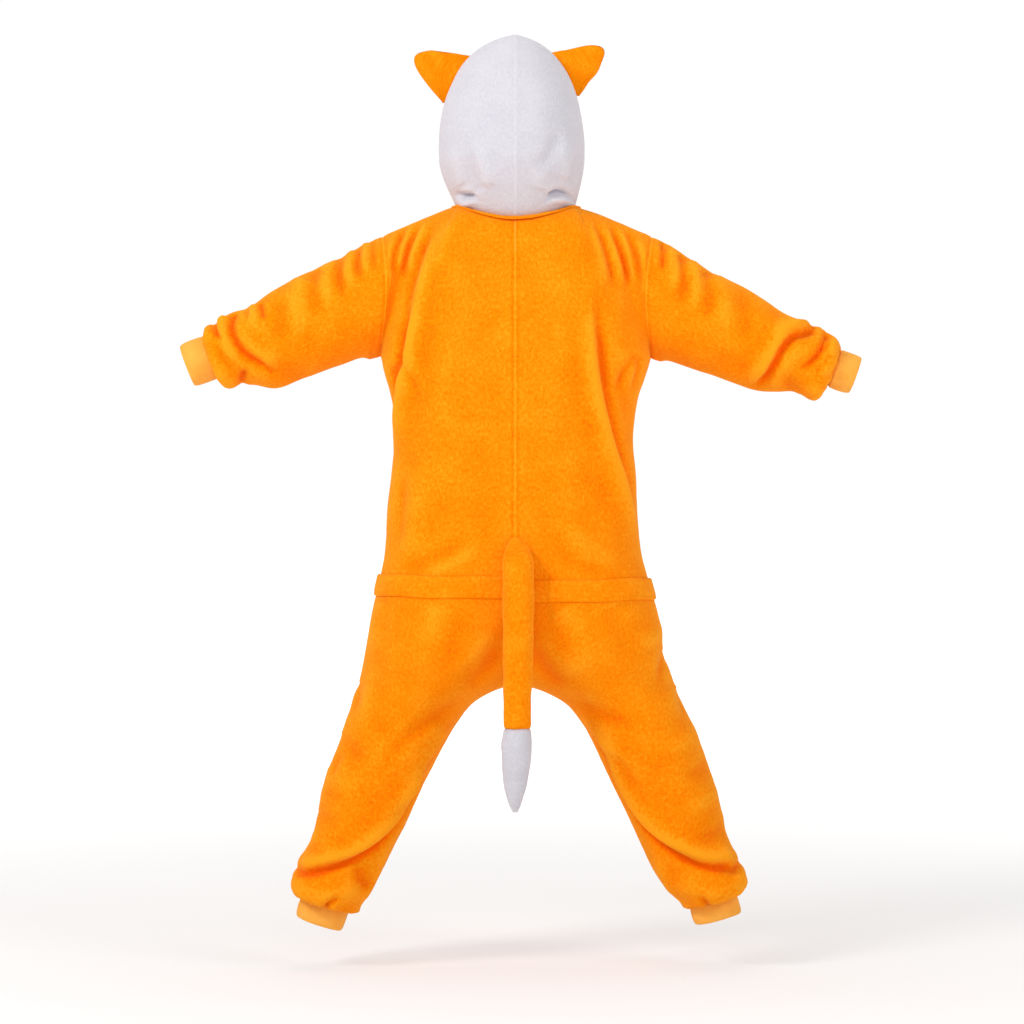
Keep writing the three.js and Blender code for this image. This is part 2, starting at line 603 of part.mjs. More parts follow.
// ---- ears ----
/** A padded ear between its root line and a rounded tip. */
function ear({ name, top, bottom, corner }) {
  const side = Math.sign(corner[0]);
  const steps = 6;
  const rootAt = (share) => {
    const z = mix(bottom[1], top[1], share);
    return V(side * (hoodReach(side, z) + PROUD + 0.6), EAR_Y, z);
  };
  const tip = V(corner[0], EAR_Y, corner[1]);
  const rim = (share) => {
    const root = share < 0.5 ? V(bottom[0], EAR_Y, bottom[1]) : V(top[0], EAR_Y, top[1]);
    const shortOf = (end) => tip.clone().add(end.clone().sub(tip).setLength(EAR_ROUND));
    const near = clamp(Math.abs(share - 0.5) / 0.2);
    if (near >= 1) {
      return shortOf(root).lerp(root, (Math.abs(share - 0.5) - 0.2) / 0.3);
    }
    const first = shortOf(V(bottom[0], EAR_Y, bottom[1]));
    const last = shortOf(V(top[0], EAR_Y, top[1]));
    const turn = (share - 0.3) / 0.4;
    return first.lerp(tip, turn).lerp(tip.clone().lerp(last, turn), turn);
  };
  const rows = range(0, 1, 5);
  const shares = range(0.06, 0.94, steps);
  const layer = (face) => rows.map((row) => shares.map((share) => {
    const point = rootAt(share).lerp(rim(share), row);
    const puff = Math.sin(Math.PI * clamp(share, 0.08, 0.92)) ** 0.6
      * Math.cos((Math.PI / 2) * row ** 1.4 * 0.94) ** 0.8;
    point.y += face * Math.max(1.2, EAR_PAD * puff);
    return point;
  }));
  return wallMesh(name, ORANGE, layer(-1), layer(1));
}
/** How far the hood's side stands out at a height. */
function hoodReach(side, z) {
  let [low, high] = [0, 1];
  for (let i = 0; i < 40; i += 1) {
    const climb = (low + high) / 2;
    if (hoodPoint(side, 0.5, climb).z < z) low = climb;
    else high = climb;
  }
  return Math.abs(hoodPoint(side, 0.5, high).x);
}
EARS.forEach((shape) => onesie.add(ear(shape)));

// ---- tail ----
/** A closed stuffed length of the tail between two heights. */
function tailPiece(name, material, heights, trimTop, trimBottom) {
  const around = 12;
  const points = [];
  heights.forEach((z, i) => {
    const at = (key) => column(TAIL, "z", key, z);
    const trim = i === 0 ? -trimTop : (i === heights.length - 1 ? trimBottom : 0);
    for (let j = 0; j < around; j += 1) {
      const angle = (j / around) * 2 * Math.PI;
      points.push(V(at("x") + at("half") * Math.cos(angle),
        -at("behind") + at("thick") * Math.sin(angle), z + trim));
    }
  });
  const faces = [];
  for (let i = 0; i < heights.length - 1; i += 1) {
    for (let j = 0; j < around; j += 1) {
      const [a, b] = [i * around + j, i * around + ((j + 1) % around)];
      faces.push([a, b, b + around], [a, b + around, a + around]);
    }
  }
  const last = (heights.length - 1) * around;
  for (let j = 1; j < around - 1; j += 1) {
    faces.push([0, j + 1, j], [last, last + j, last + j + 1]);
  }
  return solidMesh(name, material, points, faces);
}
const tailHeights = TAIL.map((row) => row.z);
onesie.add(
  tailPiece("tail", ORANGE, tailHeights.filter((z) => z >= TAIL_JOIN_Z), 0, SEAM),
  tailPiece("tail_tip", WHITE, tailHeights.filter((z) => z <= TAIL_JOIN_Z), SEAM, 0),
);

export default onesie;
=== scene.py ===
"""A child's plush fox onesie, worn out on an empty figure: cloth panels, hood, tail and studio.

Sizes in the tables are millimetres in the garment's own frame: +X to the wearer's right,
+Y to the garment's front, +Z up, with the origin in the middle of the neck opening.
"""

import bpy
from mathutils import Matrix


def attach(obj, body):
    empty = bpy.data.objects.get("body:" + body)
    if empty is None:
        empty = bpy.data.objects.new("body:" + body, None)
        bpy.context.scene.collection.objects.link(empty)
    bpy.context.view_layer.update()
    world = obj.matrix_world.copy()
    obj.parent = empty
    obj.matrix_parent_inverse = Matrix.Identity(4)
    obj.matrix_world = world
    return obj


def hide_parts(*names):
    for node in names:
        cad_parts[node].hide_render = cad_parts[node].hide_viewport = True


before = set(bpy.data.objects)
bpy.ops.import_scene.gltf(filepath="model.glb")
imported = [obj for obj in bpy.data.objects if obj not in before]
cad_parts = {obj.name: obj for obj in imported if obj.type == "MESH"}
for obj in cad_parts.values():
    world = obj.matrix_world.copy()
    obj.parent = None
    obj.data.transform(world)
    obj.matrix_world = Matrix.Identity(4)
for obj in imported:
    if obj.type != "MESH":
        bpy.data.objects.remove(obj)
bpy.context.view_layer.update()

import logging
import math
from dataclasses import dataclass, field
from enum import Enum
from typing import NamedTuple, Sequence

import bpy
import numpy as np
from mathutils import Vector

log = logging.getLogger("onesie")
MM = 0.001
Points = np.ndarray
Socket = bpy.types.NodeSocket
Triple = tuple[float, float, float]
Colour = Triple
Pair = tuple[float, float]

CLOTH = 2.4
RIB = 2.2
GRAIN = 3.6
SEAM_GAP = 0.02
UNDERARM_Z = -192.0
CROTCH_Z = -605.0
SEAT_TOP_Z = -470.0
WAIST_Z = -481.0
TRUNK_ROUND = 2.4
LEG_ROUND = 2.0
ARMHOLE_DEPTH = 62.0
SHOULDER_SHARE = 0.5
FLOOR_Z = -965.0
FORWARD = np.array([0.0, 1.0, 0.0])
UPWARD = np.array([0.0, 0.0, 1.0])
FLAT = 1 - FORWARD
WELD = 2e-5
CREASED_DEGREES = 50
LEAST_AREA_SHARE = 0.31
CREST_REACH = 4
TINY = 1e-6

# How much of a fold's two ends runs out: sewn into a seam, from an outline, short, and free.
SEWN = (0.02, 0.4)
OUTLINE = (0.02, 0.5)
SHORT = (0.05, 0.5)
FREE = (0.1, 0.5)


class Side(Enum):
    """The wearer's side in the table names; LEFT lies towards -X."""

    LEFT = -1
    RIGHT = 1

    @property
    def word(self) -> str:
        """The side's name in lower case."""
        return self.name.lower()


class Face(Enum):
    """The back or the front of the garment."""

    BACK = -1
    FRONT = 1


class Relief(Enum):
    """The shapes that a fold's section can have."""

    RIDGE = "ridge"
    CREASE = "crease"
    OVERLAP = "overlap"
    HOLLOW = "hollow"


class Neck(NamedTuple):
    """The neckline's half widths, depths and drops."""

    left: float
    right: float
    back: float
    front: float
    back_drop: float
    front_drop: float


class TrunkRow(NamedTuple):
    """One level section of the trunk."""

    z: float
    left: float
    right: float
    back: float
    front: float


class LegRing(NamedTuple):
    """One ring of a leg, by its drop below the crotch."""

    drop: float
    outer: float
    inner: float
    tilt: float
    depth: float


class SleeveRing(NamedTuple):
    """One ring of a sleeve, by its place along the sleeve's axis."""

    along: float
    up: float
    down: float
    depth: float


class TailRing(NamedTuple):
    """One level section of the tail."""

    z: float
    x: float
    half: float
    thick: float
    behind: float


NECK = Neck(left=73, right=76, back=56, front=62, back_drop=18, front_drop=50)
SHOULDER_TIP = {Side.LEFT: (168.0, 37.0), Side.RIGHT: (174.0, 39.0)}

TRUNK = (
    TrunkRow(-192, 171, 172, 112, 108),
    TrunkRow(-245, 159, 156, 113, 112),
    TrunkRow(-309, 154, 151, 112, 114),
    TrunkRow(-372, 160, 156, 112, 115),
    TrunkRow(-436, 165, 160, 114, 115),
    TrunkRow(-481, 174, 172, 117, 115),
    TrunkRow(-525, 183, 184, 119, 114),
    TrunkRow(-563, 190, 189, 114, 110),
    TrunkRow(-605, 198, 203, 100, 98),
)

LEGS = {
    Side.LEFT: (
        LegRing(0, 198, 0, 0, 99),
        LegRing(6, 200, 26, 1, 95),
        LegRing(20, 204, 54, 4, 89),
        LegRing(40, 208, 74, 9, 84),
        LegRing(65, 216, 91, 14, 79),
        LegRing(95, 226, 108, 17, 75),
        LegRing(125, 235, 123, 19, 71),
        LegRing(155, 245, 137, 20, 67),
        LegRing(185, 252, 152, 21, 62),
        LegRing(215, 260, 166, 21, 57),
        LegRing(245, 277, 182, 20, 55),
        LegRing(266, 283, 195, 19, 53),
        LegRing(277, 279, 199, 18, 48),
        LegRing(279, 271, 211, 18, 33),
    ),
    Side.RIGHT: (
        LegRing(0, 203, 0, 0, 99),
        LegRing(6, 206, 32, 1, 95),
        LegRing(20, 210, 65, 4, 89),
        LegRing(40, 216, 85, 9, 84),
        LegRing(65, 225, 101, 14, 79),
        LegRing(95, 236, 116, 17, 75),
        LegRing(125, 247, 131, 19, 71),
        LegRing(155, 255, 146, 20, 67),
        LegRing(185, 264, 160, 21, 62),
        LegRing(215, 272, 174, 21, 58),
        LegRing(245, 288, 193, 20, 56),
        LegRing(262, 293, 208, 19, 53),
        LegRing(273, 288, 214, 18, 47),
        LegRing(275, 281, 223, 18, 32),
    ),
}

SLEEVE_AXIS = {
    Side.LEFT: ((-165.0, -118.0), (-387.0, -191.0)),
    Side.RIGHT: ((168.0, -118.0), (407.0, -205.0)),
}
ARMHOLE_BLEND = 62.0
SLEEVES = {
    Side.LEFT: (
        SleeveRing(22, 68, 69, 62),
        SleeveRing(50, 67, 62, 61),
        SleeveRing(80, 64, 62, 60),
        SleeveRing(110, 59, 62, 58),
        SleeveRing(140, 53, 64, 56),
        SleeveRing(168, 45, 63, 52),
        SleeveRing(190, 46, 51, 47),
        SleeveRing(210, 40, 43, 42),
        SleeveRing(226, 36, 40, 37),
        SleeveRing(232, 27, 28, 27),
    ),
    Side.RIGHT: (
        SleeveRing(22, 66, 68, 62),
        SleeveRing(50, 63, 63, 61),
        SleeveRing(80, 59, 62, 60),
        SleeveRing(110, 57, 62, 58),
        SleeveRing(140, 51, 62, 56),
        SleeveRing(170, 43, 61, 52),
        SleeveRing(198, 39, 53, 47),
        SleeveRing(222, 41, 47, 42),
        SleeveRing(244, 34, 46, 36),
        SleeveRing(253, 24, 25, 24),
    ),
}

TAIL = (
    TailRing(-419, 0, 3, 3, 121),
    TailRing(-428, 2, 12.5, 7, 125),
    TailRing(-442, 3, 18, 13, 133),
    TailRing(-467, 4, 19.3, 17, 141),
    TailRing(-520, 4, 19.6, 18.5, 146),
    TailRing(-593, 3, 18, 17.5, 148),
    TailRing(-652.5, 3, 17.5, 17, 149),
    TailRing(-676, 2, 19.2, 18.5, 149),
    TailRing(-699, 1, 17.6, 17, 149),
    TailRing(-722, 0, 14, 13.5, 149),
    TailRing(-742, 0, 9, 8.6, 149),
    TailRing(-755, 0, 3, 3, 149),
)


# ---------------------------------------------------------------- small maths


def mix(low: float, high: float, share: Points | float) -> Points:
    """Blends from low to high."""
    return low + (high - low) * np.asarray(share)


def ease(share: Points | float) -> Points:
    """A smooth step from 0 to 1."""
    held = np.clip(share, 0, 1)
    return held * held * (3 - 2 * held)


def rounded(share: Points) -> Points:
    """A quarter circle's rise from 0 to 1."""
    return np.sqrt(np.clip(1 - (1 - np.clip(share, 0, 1)) ** 2, 0, 1))


def unit(vectors: Points, least: float = TINY) -> Points:
    """Vectors brought to length 1, where they are longer than a least length."""
    return vectors / np.maximum(np.linalg.norm(vectors, axis=-1, keepdims=True), least)


def running(steps: Points) -> Points:
    """How far each point of a line lies from its start, from the steps between them."""
    return np.concatenate([[0.0], np.cumsum(steps)])


def power(value: Points, exponent: float) -> Points:
    """A power that keeps the sign."""
    return np.sign(value) * np.abs(value) ** exponent


def column(rows: Sequence[NamedTuple], key: str, name: str, at: Points | float) -> Points:
    """Reads one column of a table with a smooth curve through its rows.

    Args:
        rows: The table, in order of its key column.
        key: The column that gives the place.
        name: The column to read.
        at: Where to read it.

    Returns:
        The column's value at each place.
    """
    keys = np.arange(len(rows), dtype=float) if key == "index" else np.array(
        [getattr(row, key) for row in rows], float)
    values = np.array([getattr(row, name) for row in rows], float)
    if keys[-1] < keys[0]:
        keys, values = keys[::-1], values[::-1]
    place = np.clip(np.asarray(at, float), keys[0], keys[-1])
    low = np.clip(np.searchsorted(keys, place, side="right") - 1, 0, len(keys) - 2)
    before, after = np.maximum(low - 1, 0), np.minimum(low + 2, len(keys) - 1)
    span = keys[low + 1] - keys[low]
    share = (place - keys[low]) / span
    slope_low = (values[low + 1] - values[before]) / (keys[low + 1] - keys[before])
    slope_high = (values[after] - values[low]) / (keys[after] - keys[low])
    square, cube = share ** 2, share ** 3
    return ((2 * cube - 3 * square + 1) * values[low]
            + (cube - 2 * square + share) * span * slope_low
            + (3 * square - 2 * cube) * values[low + 1] + (cube - square) * span * slope_high)


def lengths_along(points: Points, axis: int) -> Points:
    """Distances run along a grid's rows (axis 1) or columns (axis 0), from 0.

    Args:
        points: A grid of points.
        axis: 0 to run up the columns, 1 to run along the rows.

    Returns:
        The distance at each point.
    """
    steps = np.linalg.norm(np.diff(points, axis=axis), axis=2)
    pad = [(1, 0) if axis == 0 else (0, 0), (1, 0) if axis == 1 else (0, 0)]
    return np.cumsum(np.pad(steps, pad), axis=axis)


def spaced(length: float, grain: float, edged: bool = True) -> Points:
    """Shares from 0 to 1 about a grain apart, closer together beside a seam.

    Args:
        length: The length to cover.
        grain: The usual step.
        edged: Whether both ends are seams.

    Returns:
        The shares, from 0 to 1.
    """
    count = max(3, int(round(length / grain)))
    inner = np.linspace(0, 1, count + 1)
    if not edged or length < 6 * grain:
        return inner
    fine = np.array([0.8, 1.7, 2.8]) / length
    middle = inner[(inner > fine[-1] * 1.25) & (inner < 1 - fine[-1] * 1.25)]
    return np.concatenate([[0.0], fine, middle, 1 - fine[::-1], [1.0]])


def resample(points: Points, shares: Points) -> Points:
    """Points of a polyline at shares of its length.

    Args:
        points: The polyline's points.
        shares: Places from 0 to 1.

    Returns:
        One point for each share.
    """
    run = running(np.linalg.norm(np.diff(points, axis=0), axis=1))
    wanted = shares * run[-1]
    return np.stack([np.interp(wanted, run, points[:, k]) for k in range(3)], axis=1)


def grid_normals(points: Points, closed: bool = False) -> Points:
    """Unit normals of a grid, of either sense.

    Args:
        points: The grid, rows by columns by 3.
        closed: Whether the first and last columns are the same line.

    Returns:
        A unit vector for each point.
    """
    if closed:
        wrapped = np.concatenate([points[:, -2:-1], points, points[:, 1:2]], axis=1)
        across = np.gradient(wrapped, axis=1)[:, 1:-1]
    else:
        across = np.gradient(points, axis=1)
    up = np.gradient(points, axis=0)
    normal = np.cross(across, up)
    return unit(normal, 1e-9)


# ---------------------------------------------------------------- folds


@dataclass(frozen=True)
class Fold:
    """One fold, along a path in the plane of the shoulders.

    path is a line of (x, z) points, width the reach of its soft side and height its relief.
    side turns an overlap's steep edge to the other side. fade is how much of each end runs out.
    """

    path: tuple[Pair, ...]
    width: float
    height: float
    relief: Relief = Relief.RIDGE
    side: int = 1
    fade: Pair = (0.3, 0.3)

    def shifted(self, along_x: float, along_z: float, share: float) -> "Fold":
        """A sister fold elsewhere.

        Args:
            along_x: How far it moves sideways.
            along_z: How far it moves up.
            share: Its height as a share of this one's.

        Returns:
            The moved fold.
        """
        path = tuple((x + along_x, z + along_z) for x, z in self.path)
        return Fold(path, self.width, self.height * share, self.relief, self.side, self.fade)

    def line(self) -> Points:
        """The path as a smooth line of many points.

        Returns:
            The line's points, as x and z.
        """
        knots = np.array(self.path, float)
        place = np.linspace(0, len(knots) - 1, 6 * (len(knots) - 1) + 1)
        low = np.clip(place.astype(int), 0, len(knots) - 2)
        share = (place - low)[:, None]
        before, after = knots[np.maximum(low - 1, 0)], knots[np.minimum(low + 2, len(knots) - 1)]
        a, b = knots[low], knots[low + 1]
        return 0.5 * (2 * a + (b - before) * share
                      + (2 * before - 5 * a + 4 * b - after) * share ** 2
                      + (3 * a - before - 3 * b + after) * share ** 3)

    def profile(self, offset: Points) -> Points:
        """The fold's section: its relief at a signed distance from the path.

        Args:
            offset: Signed distances from the path.

        Returns:
            The relief, as a share of the height.
        """
        reach = self.width
        if self.relief is Relief.RIDGE:
            return np.exp(-(offset / reach) ** 2)
        if self.relief is Relief.HOLLOW:
            return -np.exp(-(offset / reach) ** 2)
        if self.relief is Relief.CREASE:
            lips = np.exp(-((np.abs(offset) - 0.95 * reach) / (0.6 * reach)) ** 2)
            return 0.28 * lips - np.exp(-(np.abs(offset) / (0.42 * reach)) ** 1.25)
        across = offset * self.side
        crest = np.where(across > 0, np.exp(-(across / reach) ** 2),
                         np.exp(-(across / (0.3 * reach)) ** 2))
        trough = np.exp(-((across + 0.62 * reach) / (0.42 * reach)) ** 2)
        return crest - 0.85 * trough

    def relief_at(self, x: Points, z: Points) -> Points:
        """The fold's height over flat points.

        Args:
            x: Sideways places.
            z: Heights.

        Returns:
            The relief at each point.
        """
        line = self.line()
        reach = 2.8 * self.width
        low, high = line.min(0) - reach, line.max(0) + reach
        near = (x > low[0]) & (x < high[0]) & (z > low[1]) & (z < high[1])
        result = np.zeros_like(x)
        if not near.any():
            return result
        spots = np.stack([x[near], z[near]], axis=1)
        start, step = line[:-1], np.diff(line, axis=0)
        run = running(np.linalg.norm(step, axis=1))
        best = np.full(len(spots), 1e9)
        offset = np.zeros(len(spots))
        place = np.zeros(len(spots))
        for index, (origin, span) in enumerate(zip(start, step)):
            size = max(float(span @ span), 1e-9)
            along = np.clip(((spots - origin) @ span) / size, 0, 1)
            away = spots - origin - along[:, None] * span
            distance = np.hypot(away[:, 0], away[:, 1])
            closer = distance < best
            turn = np.sign(span[0] * away[:, 1] - span[1] * away[:, 0])
            best = np.where(closer, distance, best)
            offset = np.where(closer, distance * np.where(turn == 0, 1, turn), offset)
            place = np.where(closer, run[index] + along * math.sqrt(size), place)
        share = place / run[-1]
        ends = ease(share / max(self.fade[0], 1e-3)) * ease((1 - share) / max(self.fade[1], 1e-3))
        result[near] = self.height * self.profile(offset) * ends
        return result


def ridge(*path: Pair, w: float, h: float, fade: Pair = (0.3, 0.3)) -> Fold:
    """A soft ridge along a path."""
    return Fold(path, w, h, Relief.RIDGE, 1, fade)


def hollow(*path: Pair, w: float, h: float, fade: Pair = (0.3, 0.3)) -> Fold:
    """A soft hollow along a path."""
    return Fold(path, w, h, Relief.HOLLOW, 1, fade)


def crease(*path: Pair, w: float, h: float, fade: Pair = (0.3, 0.3)) -> Fold:
    """A sharp crease between soft lips."""
    return Fold(path, w, h, Relief.CREASE, 1, fade)


def overlap(*path: Pair, w: float, h: float, side: int = 1,
            fade: Pair = (0.25, 0.25)) -> Fold:
    """A fold that rolls over a trough on one side."""
    return Fold(path, w, h, Relief.OVERLAP, side, fade)


@dataclass(frozen=True)
class Drape:
    """All the folds of one part of the garment, with its slow unevenness.

    back and front are the folds of each face, swell the size of the slow unevenness and seed its
    start. strength multiplies the folds, and calm is what is left of them at the side outlines.
    """

    back: tuple[Fold, ...]
    front: tuple[Fold, ...]
    swell: float = 1.1
    strength: float = 1.0
    calm: float = 0.5
    seed: int = 5

    def unevenness(self, points: Points) -> Points:
        """Slow waves of the cloth, the same on each run.

        Args:
            points: Points of the smooth form.

        Returns:
            The relief at each point.
        """
        rng = np.random.default_rng(self.seed)
        total = np.zeros(points.shape[:-1])
        for length in (150, 105, 80, 58, 44, 34):
            for _ in range(3):
                direction = rng.normal(size=3)
                direction *= 2 * math.pi / (length * np.linalg.norm(direction))
                total += length / 150 * np.sin(points @ direction + rng.uniform(0, 2 * math.pi))
        return 0.42 * self.swell * total

    def height(self, points: Points, normals: Points) -> Points:
        """How far the cloth stands out at each point.

        Args:
            points: Points of the smooth form.
            normals: Their outward normals.

        Returns:
            The relief at each point.
        """
        x, z = points[..., 0], points[..., 2]
        turned = ease(0.5 - 0.75 * normals[..., 1])
        total = self.unevenness(points)
        calm = mix(self.calm, 1.0, ease(1.7 * np.abs(normals[..., 1])))
        for folds, share in ((self.back, turned), (self.front, 1 - turned)):
            total += self.strength * calm * share * sum(fold.relief_at(x, z) for fold in folds)
        return total


SHOULDER_FOLDS = (
    ridge((-90, -22), (-104, -60), (-118, -118), (-132, -172), (-146, -216), w=9, h=3.9),
    hollow((-99, -18), (-114, -54), (-128, -104), (-138, -150), w=6, h=3.9),
    ridge((-107, -18), (-122, -48), (-136, -92), w=7, h=4.4),
    hollow((-116, -20), (-132, -52), (-142, -100), w=5, h=4.4),
    ridge((-124, -22), (-140, -52), (-149, -92), w=6, h=4.7),
    hollow((-134, -26), (-149, -58), (-153, -98), w=5, h=4.2),
    ridge((-146, -32), (-156, -62), (-158, -108), w=6, h=3.6),
    ridge((-78, -14), (-88, -44), (-98, -92), w=8, h=2.3),
    ridge((88, -16), (102, -54), (116, -110), w=8, h=3.4),
    hollow((97, -18), (113, -56), (126, -112), w=6, h=3.6),
    ridge((106, -20), (122, -56), (136, -108), w=7, h=4.2),
    hollow((116, -24), (132, -60), (145, -112), w=5, h=4.2),
    ridge((126, -26), (142, -62), (153, -110), w=6, h=4.4),
    hollow((138, -30), (152, -66), (158, -112), w=5, h=3.6),
    ridge((150, -36), (160, -66), (163, -120), w=6, h=3.6),
    overlap((-118, -118), (-132, -180), (-146, -236), (-152, -280), (-152, -316), w=14, h=6.0,
            side=1),
    hollow((-108, -120), (-122, -190), (-124, -290), (-116, -380), w=26, h=2.8),
    overlap((92, -96), (99, -204), (119, -296), (140, -364), (155, -424), w=16, h=6.0, side=-1,
            fade=(0.35, 0.2)),
    hollow((128, -190), (140, -262), (152, -330), w=11, h=3.0),
    hollow((64, -130), (80, -230), (94, -330), (112, -440), w=26, h=2.2),
    ridge((-116, -300), (-118, -360), (-134, -420), (-162, -456), w=18, h=3.2),
    crease((-150, -200), (-156, -220), (-152, -246), w=10, h=4.4),
    crease((-146, -190), (-134, -214), (-118, -250), w=11, h=3.2, fade=(0.05, 0.6)),
    crease((156, -186), (154, -208), (148, -240), w=10, h=4.2),
    crease((150, -190), (136, -216), (122, -256), w=11, h=3.0, fade=(0.05, 0.6)),
    ridge((-60, -60), (-66, -160), (-64, -260), w=26, h=1.7),
    ridge((52, -60), (60, -150), (52, -250), w=26, h=1.6),
    hollow((-30, -250), (-42, -340), (-40, -440), w=24, h=1.8),
    hollow((26, -280), (36, -360), (34, -450), w=24, h=1.8),
    ridge((-148, -300), (-154, -360), (-158, -420), w=9, h=2.6),
    hollow((-140, -330), (-142, -400), (-150, -452), w=8, h=2.4),
    ridge((60, -396), (92, -436), (138, -458), w=14, h=2.6),
    hollow((-56, -416), (-94, -444), (-148, -460), w=10, h=2.2),
    ridge((-40, -424), (-78, -452), (-120, -462), w=9, h=1.8),
    hollow((44, -430), (76, -452), (118, -464), w=9, h=1.8),
)

SLEEVE_FOLDS = (
    crease((-354, -134), (-358, -152), (-352, -172), (-338, -190), (-312, -208), (-292, -226),
           w=12, h=7.0, fade=(0.05, 0.35)),
    crease((-384, -140), (-378, -154), (-372, -166), (-362, -174), w=9, h=5.0, fade=(0.05, 0.3)),
    ridge((-368, -140), (-368, -160), (-358, -180), (-340, -205), w=9, h=4.2, fade=SEWN),
    ridge((-392, -150), (-388, -176), (-374, -208), (-358, -232), w=9, h=4.6, fade=(0.02, 0.1)),
    crease((-338, -128), (-336, -140), (-340, -150), w=8, h=3.4, fade=SHORT),
    crease((-322, -124), (-318, -138), (-312, -150), w=9, h=3.8, fade=SHORT),
    ridge((-334, -126), (-328, -150), (-316, -170), w=9, h=3.2, fade=OUTLINE),
    crease((-346, -226), (-343, -214), (-334, -204), w=9, h=5.0, fade=SHORT),
    ridge((-352, -234), (-362, -214), (-374, -196), w=10, h=3.0, fade=SEWN),
    hollow((-290, -112), (-298, -140), (-288, -176), w=13, h=3.0),
    ridge((-270, -92), (-276, -124), (-262, -170), w=13, h=2.8, fade=(0.02, 0.3)),
    hollow((-250, -80), (-254, -112), (-240, -150), w=10, h=2.8, fade=SEWN),
    ridge((-234, -66), (-238, -100), (-228, -140), w=10, h=3.0, fade=SEWN),
    hollow((-218, -60), (-222, -90), (-214, -122), w=7, h=3.4, fade=SEWN),
    ridge((-207, -54), (-210, -84), (-202, -116), w=7, h=3.4, fade=SEWN),
    hollow((-197, -52), (-198, -78), (-192, -104), w=5, h=3.8, fade=OUTLINE),
    ridge((-188, -46), (-188, -72), (-183, -98), w=5, h=3.6, fade=OUTLINE),
    hollow((-180, -44), (-179, -66), (-176, -90), w=4, h=2.8, fade=OUTLINE),
    hollow((-310, -196), (-282, -216), (-256, -222), w=14, h=3.0),
    hollow((-181, -214), (-181, -184), w=9, h=3.4, fade=(0.02, 0.6)),
    crease((187, -46), (187, -64), (184, -88), w=8, h=4.2, fade=(0.05, 0.4)),
    ridge((198, -56), (202, -84), (196, -118), w=8, h=3.2, fade=SEWN),
    hollow((209, -64), (214, -96), (206, -132), w=7, h=3.4, fade=SEWN),
    ridge((222, -70), (228, -104), (220, -144), w=10, h=3.2, fade=SEWN),
    hollow((240, -82), (246, -116), (238, -152), w=10, h=2.8, fade=SEWN),
    ridge((256, -88), (262, -124), (254, -164), w=14, h=2.6, fade=SEWN),
    hollow((286, -102), (292, -140), (282, -180), w=14, h=2.8),
    overlap((378, -146), (362, -154), (344, -161), (330, -176), (320, -194), (309, -212),
            (292, -228),
            w=13, h=6.4, side=-1, fade=(0.08, 0.2)),
    ridge((352, -136), (338, -150), (318, -164), w=10, h=3.4),
    crease((396, -160), (390, -176), (376, -196), (352, -212), w=11, h=5.6, fade=(0.05, 0.4)),
    crease((398, -188), (388, -202), (372, -216), w=9, h=4.2, fade=(0.1, 0.4)),
    ridge((400, -168), (396, -190), (384, -216), w=8, h=3.6, fade=(0.1, 0.2)),
    ridge((370, -160), (352, -184), (336, -210), (326, -240), w=13, h=3.2),
    ridge((388, -248), (376, -232), (362, -222), w=9, h=4.0, fade=OUTLINE),
    hollow((352, -240), (342, -222), (330, -208), w=10, h=3.4, fade=OUTLINE),
    hollow((185, -214), (185, -184), w=9, h=3.4, fade=(0.02, 0.6)),
    ridge((340, -161), (358, -155), (378, -149), (391, -155), w=8, h=3.2, fade=(0.3, 0.1)),
    hollow((240, -206), (268, -200), (300, -214), w=12, h=2.4),
)

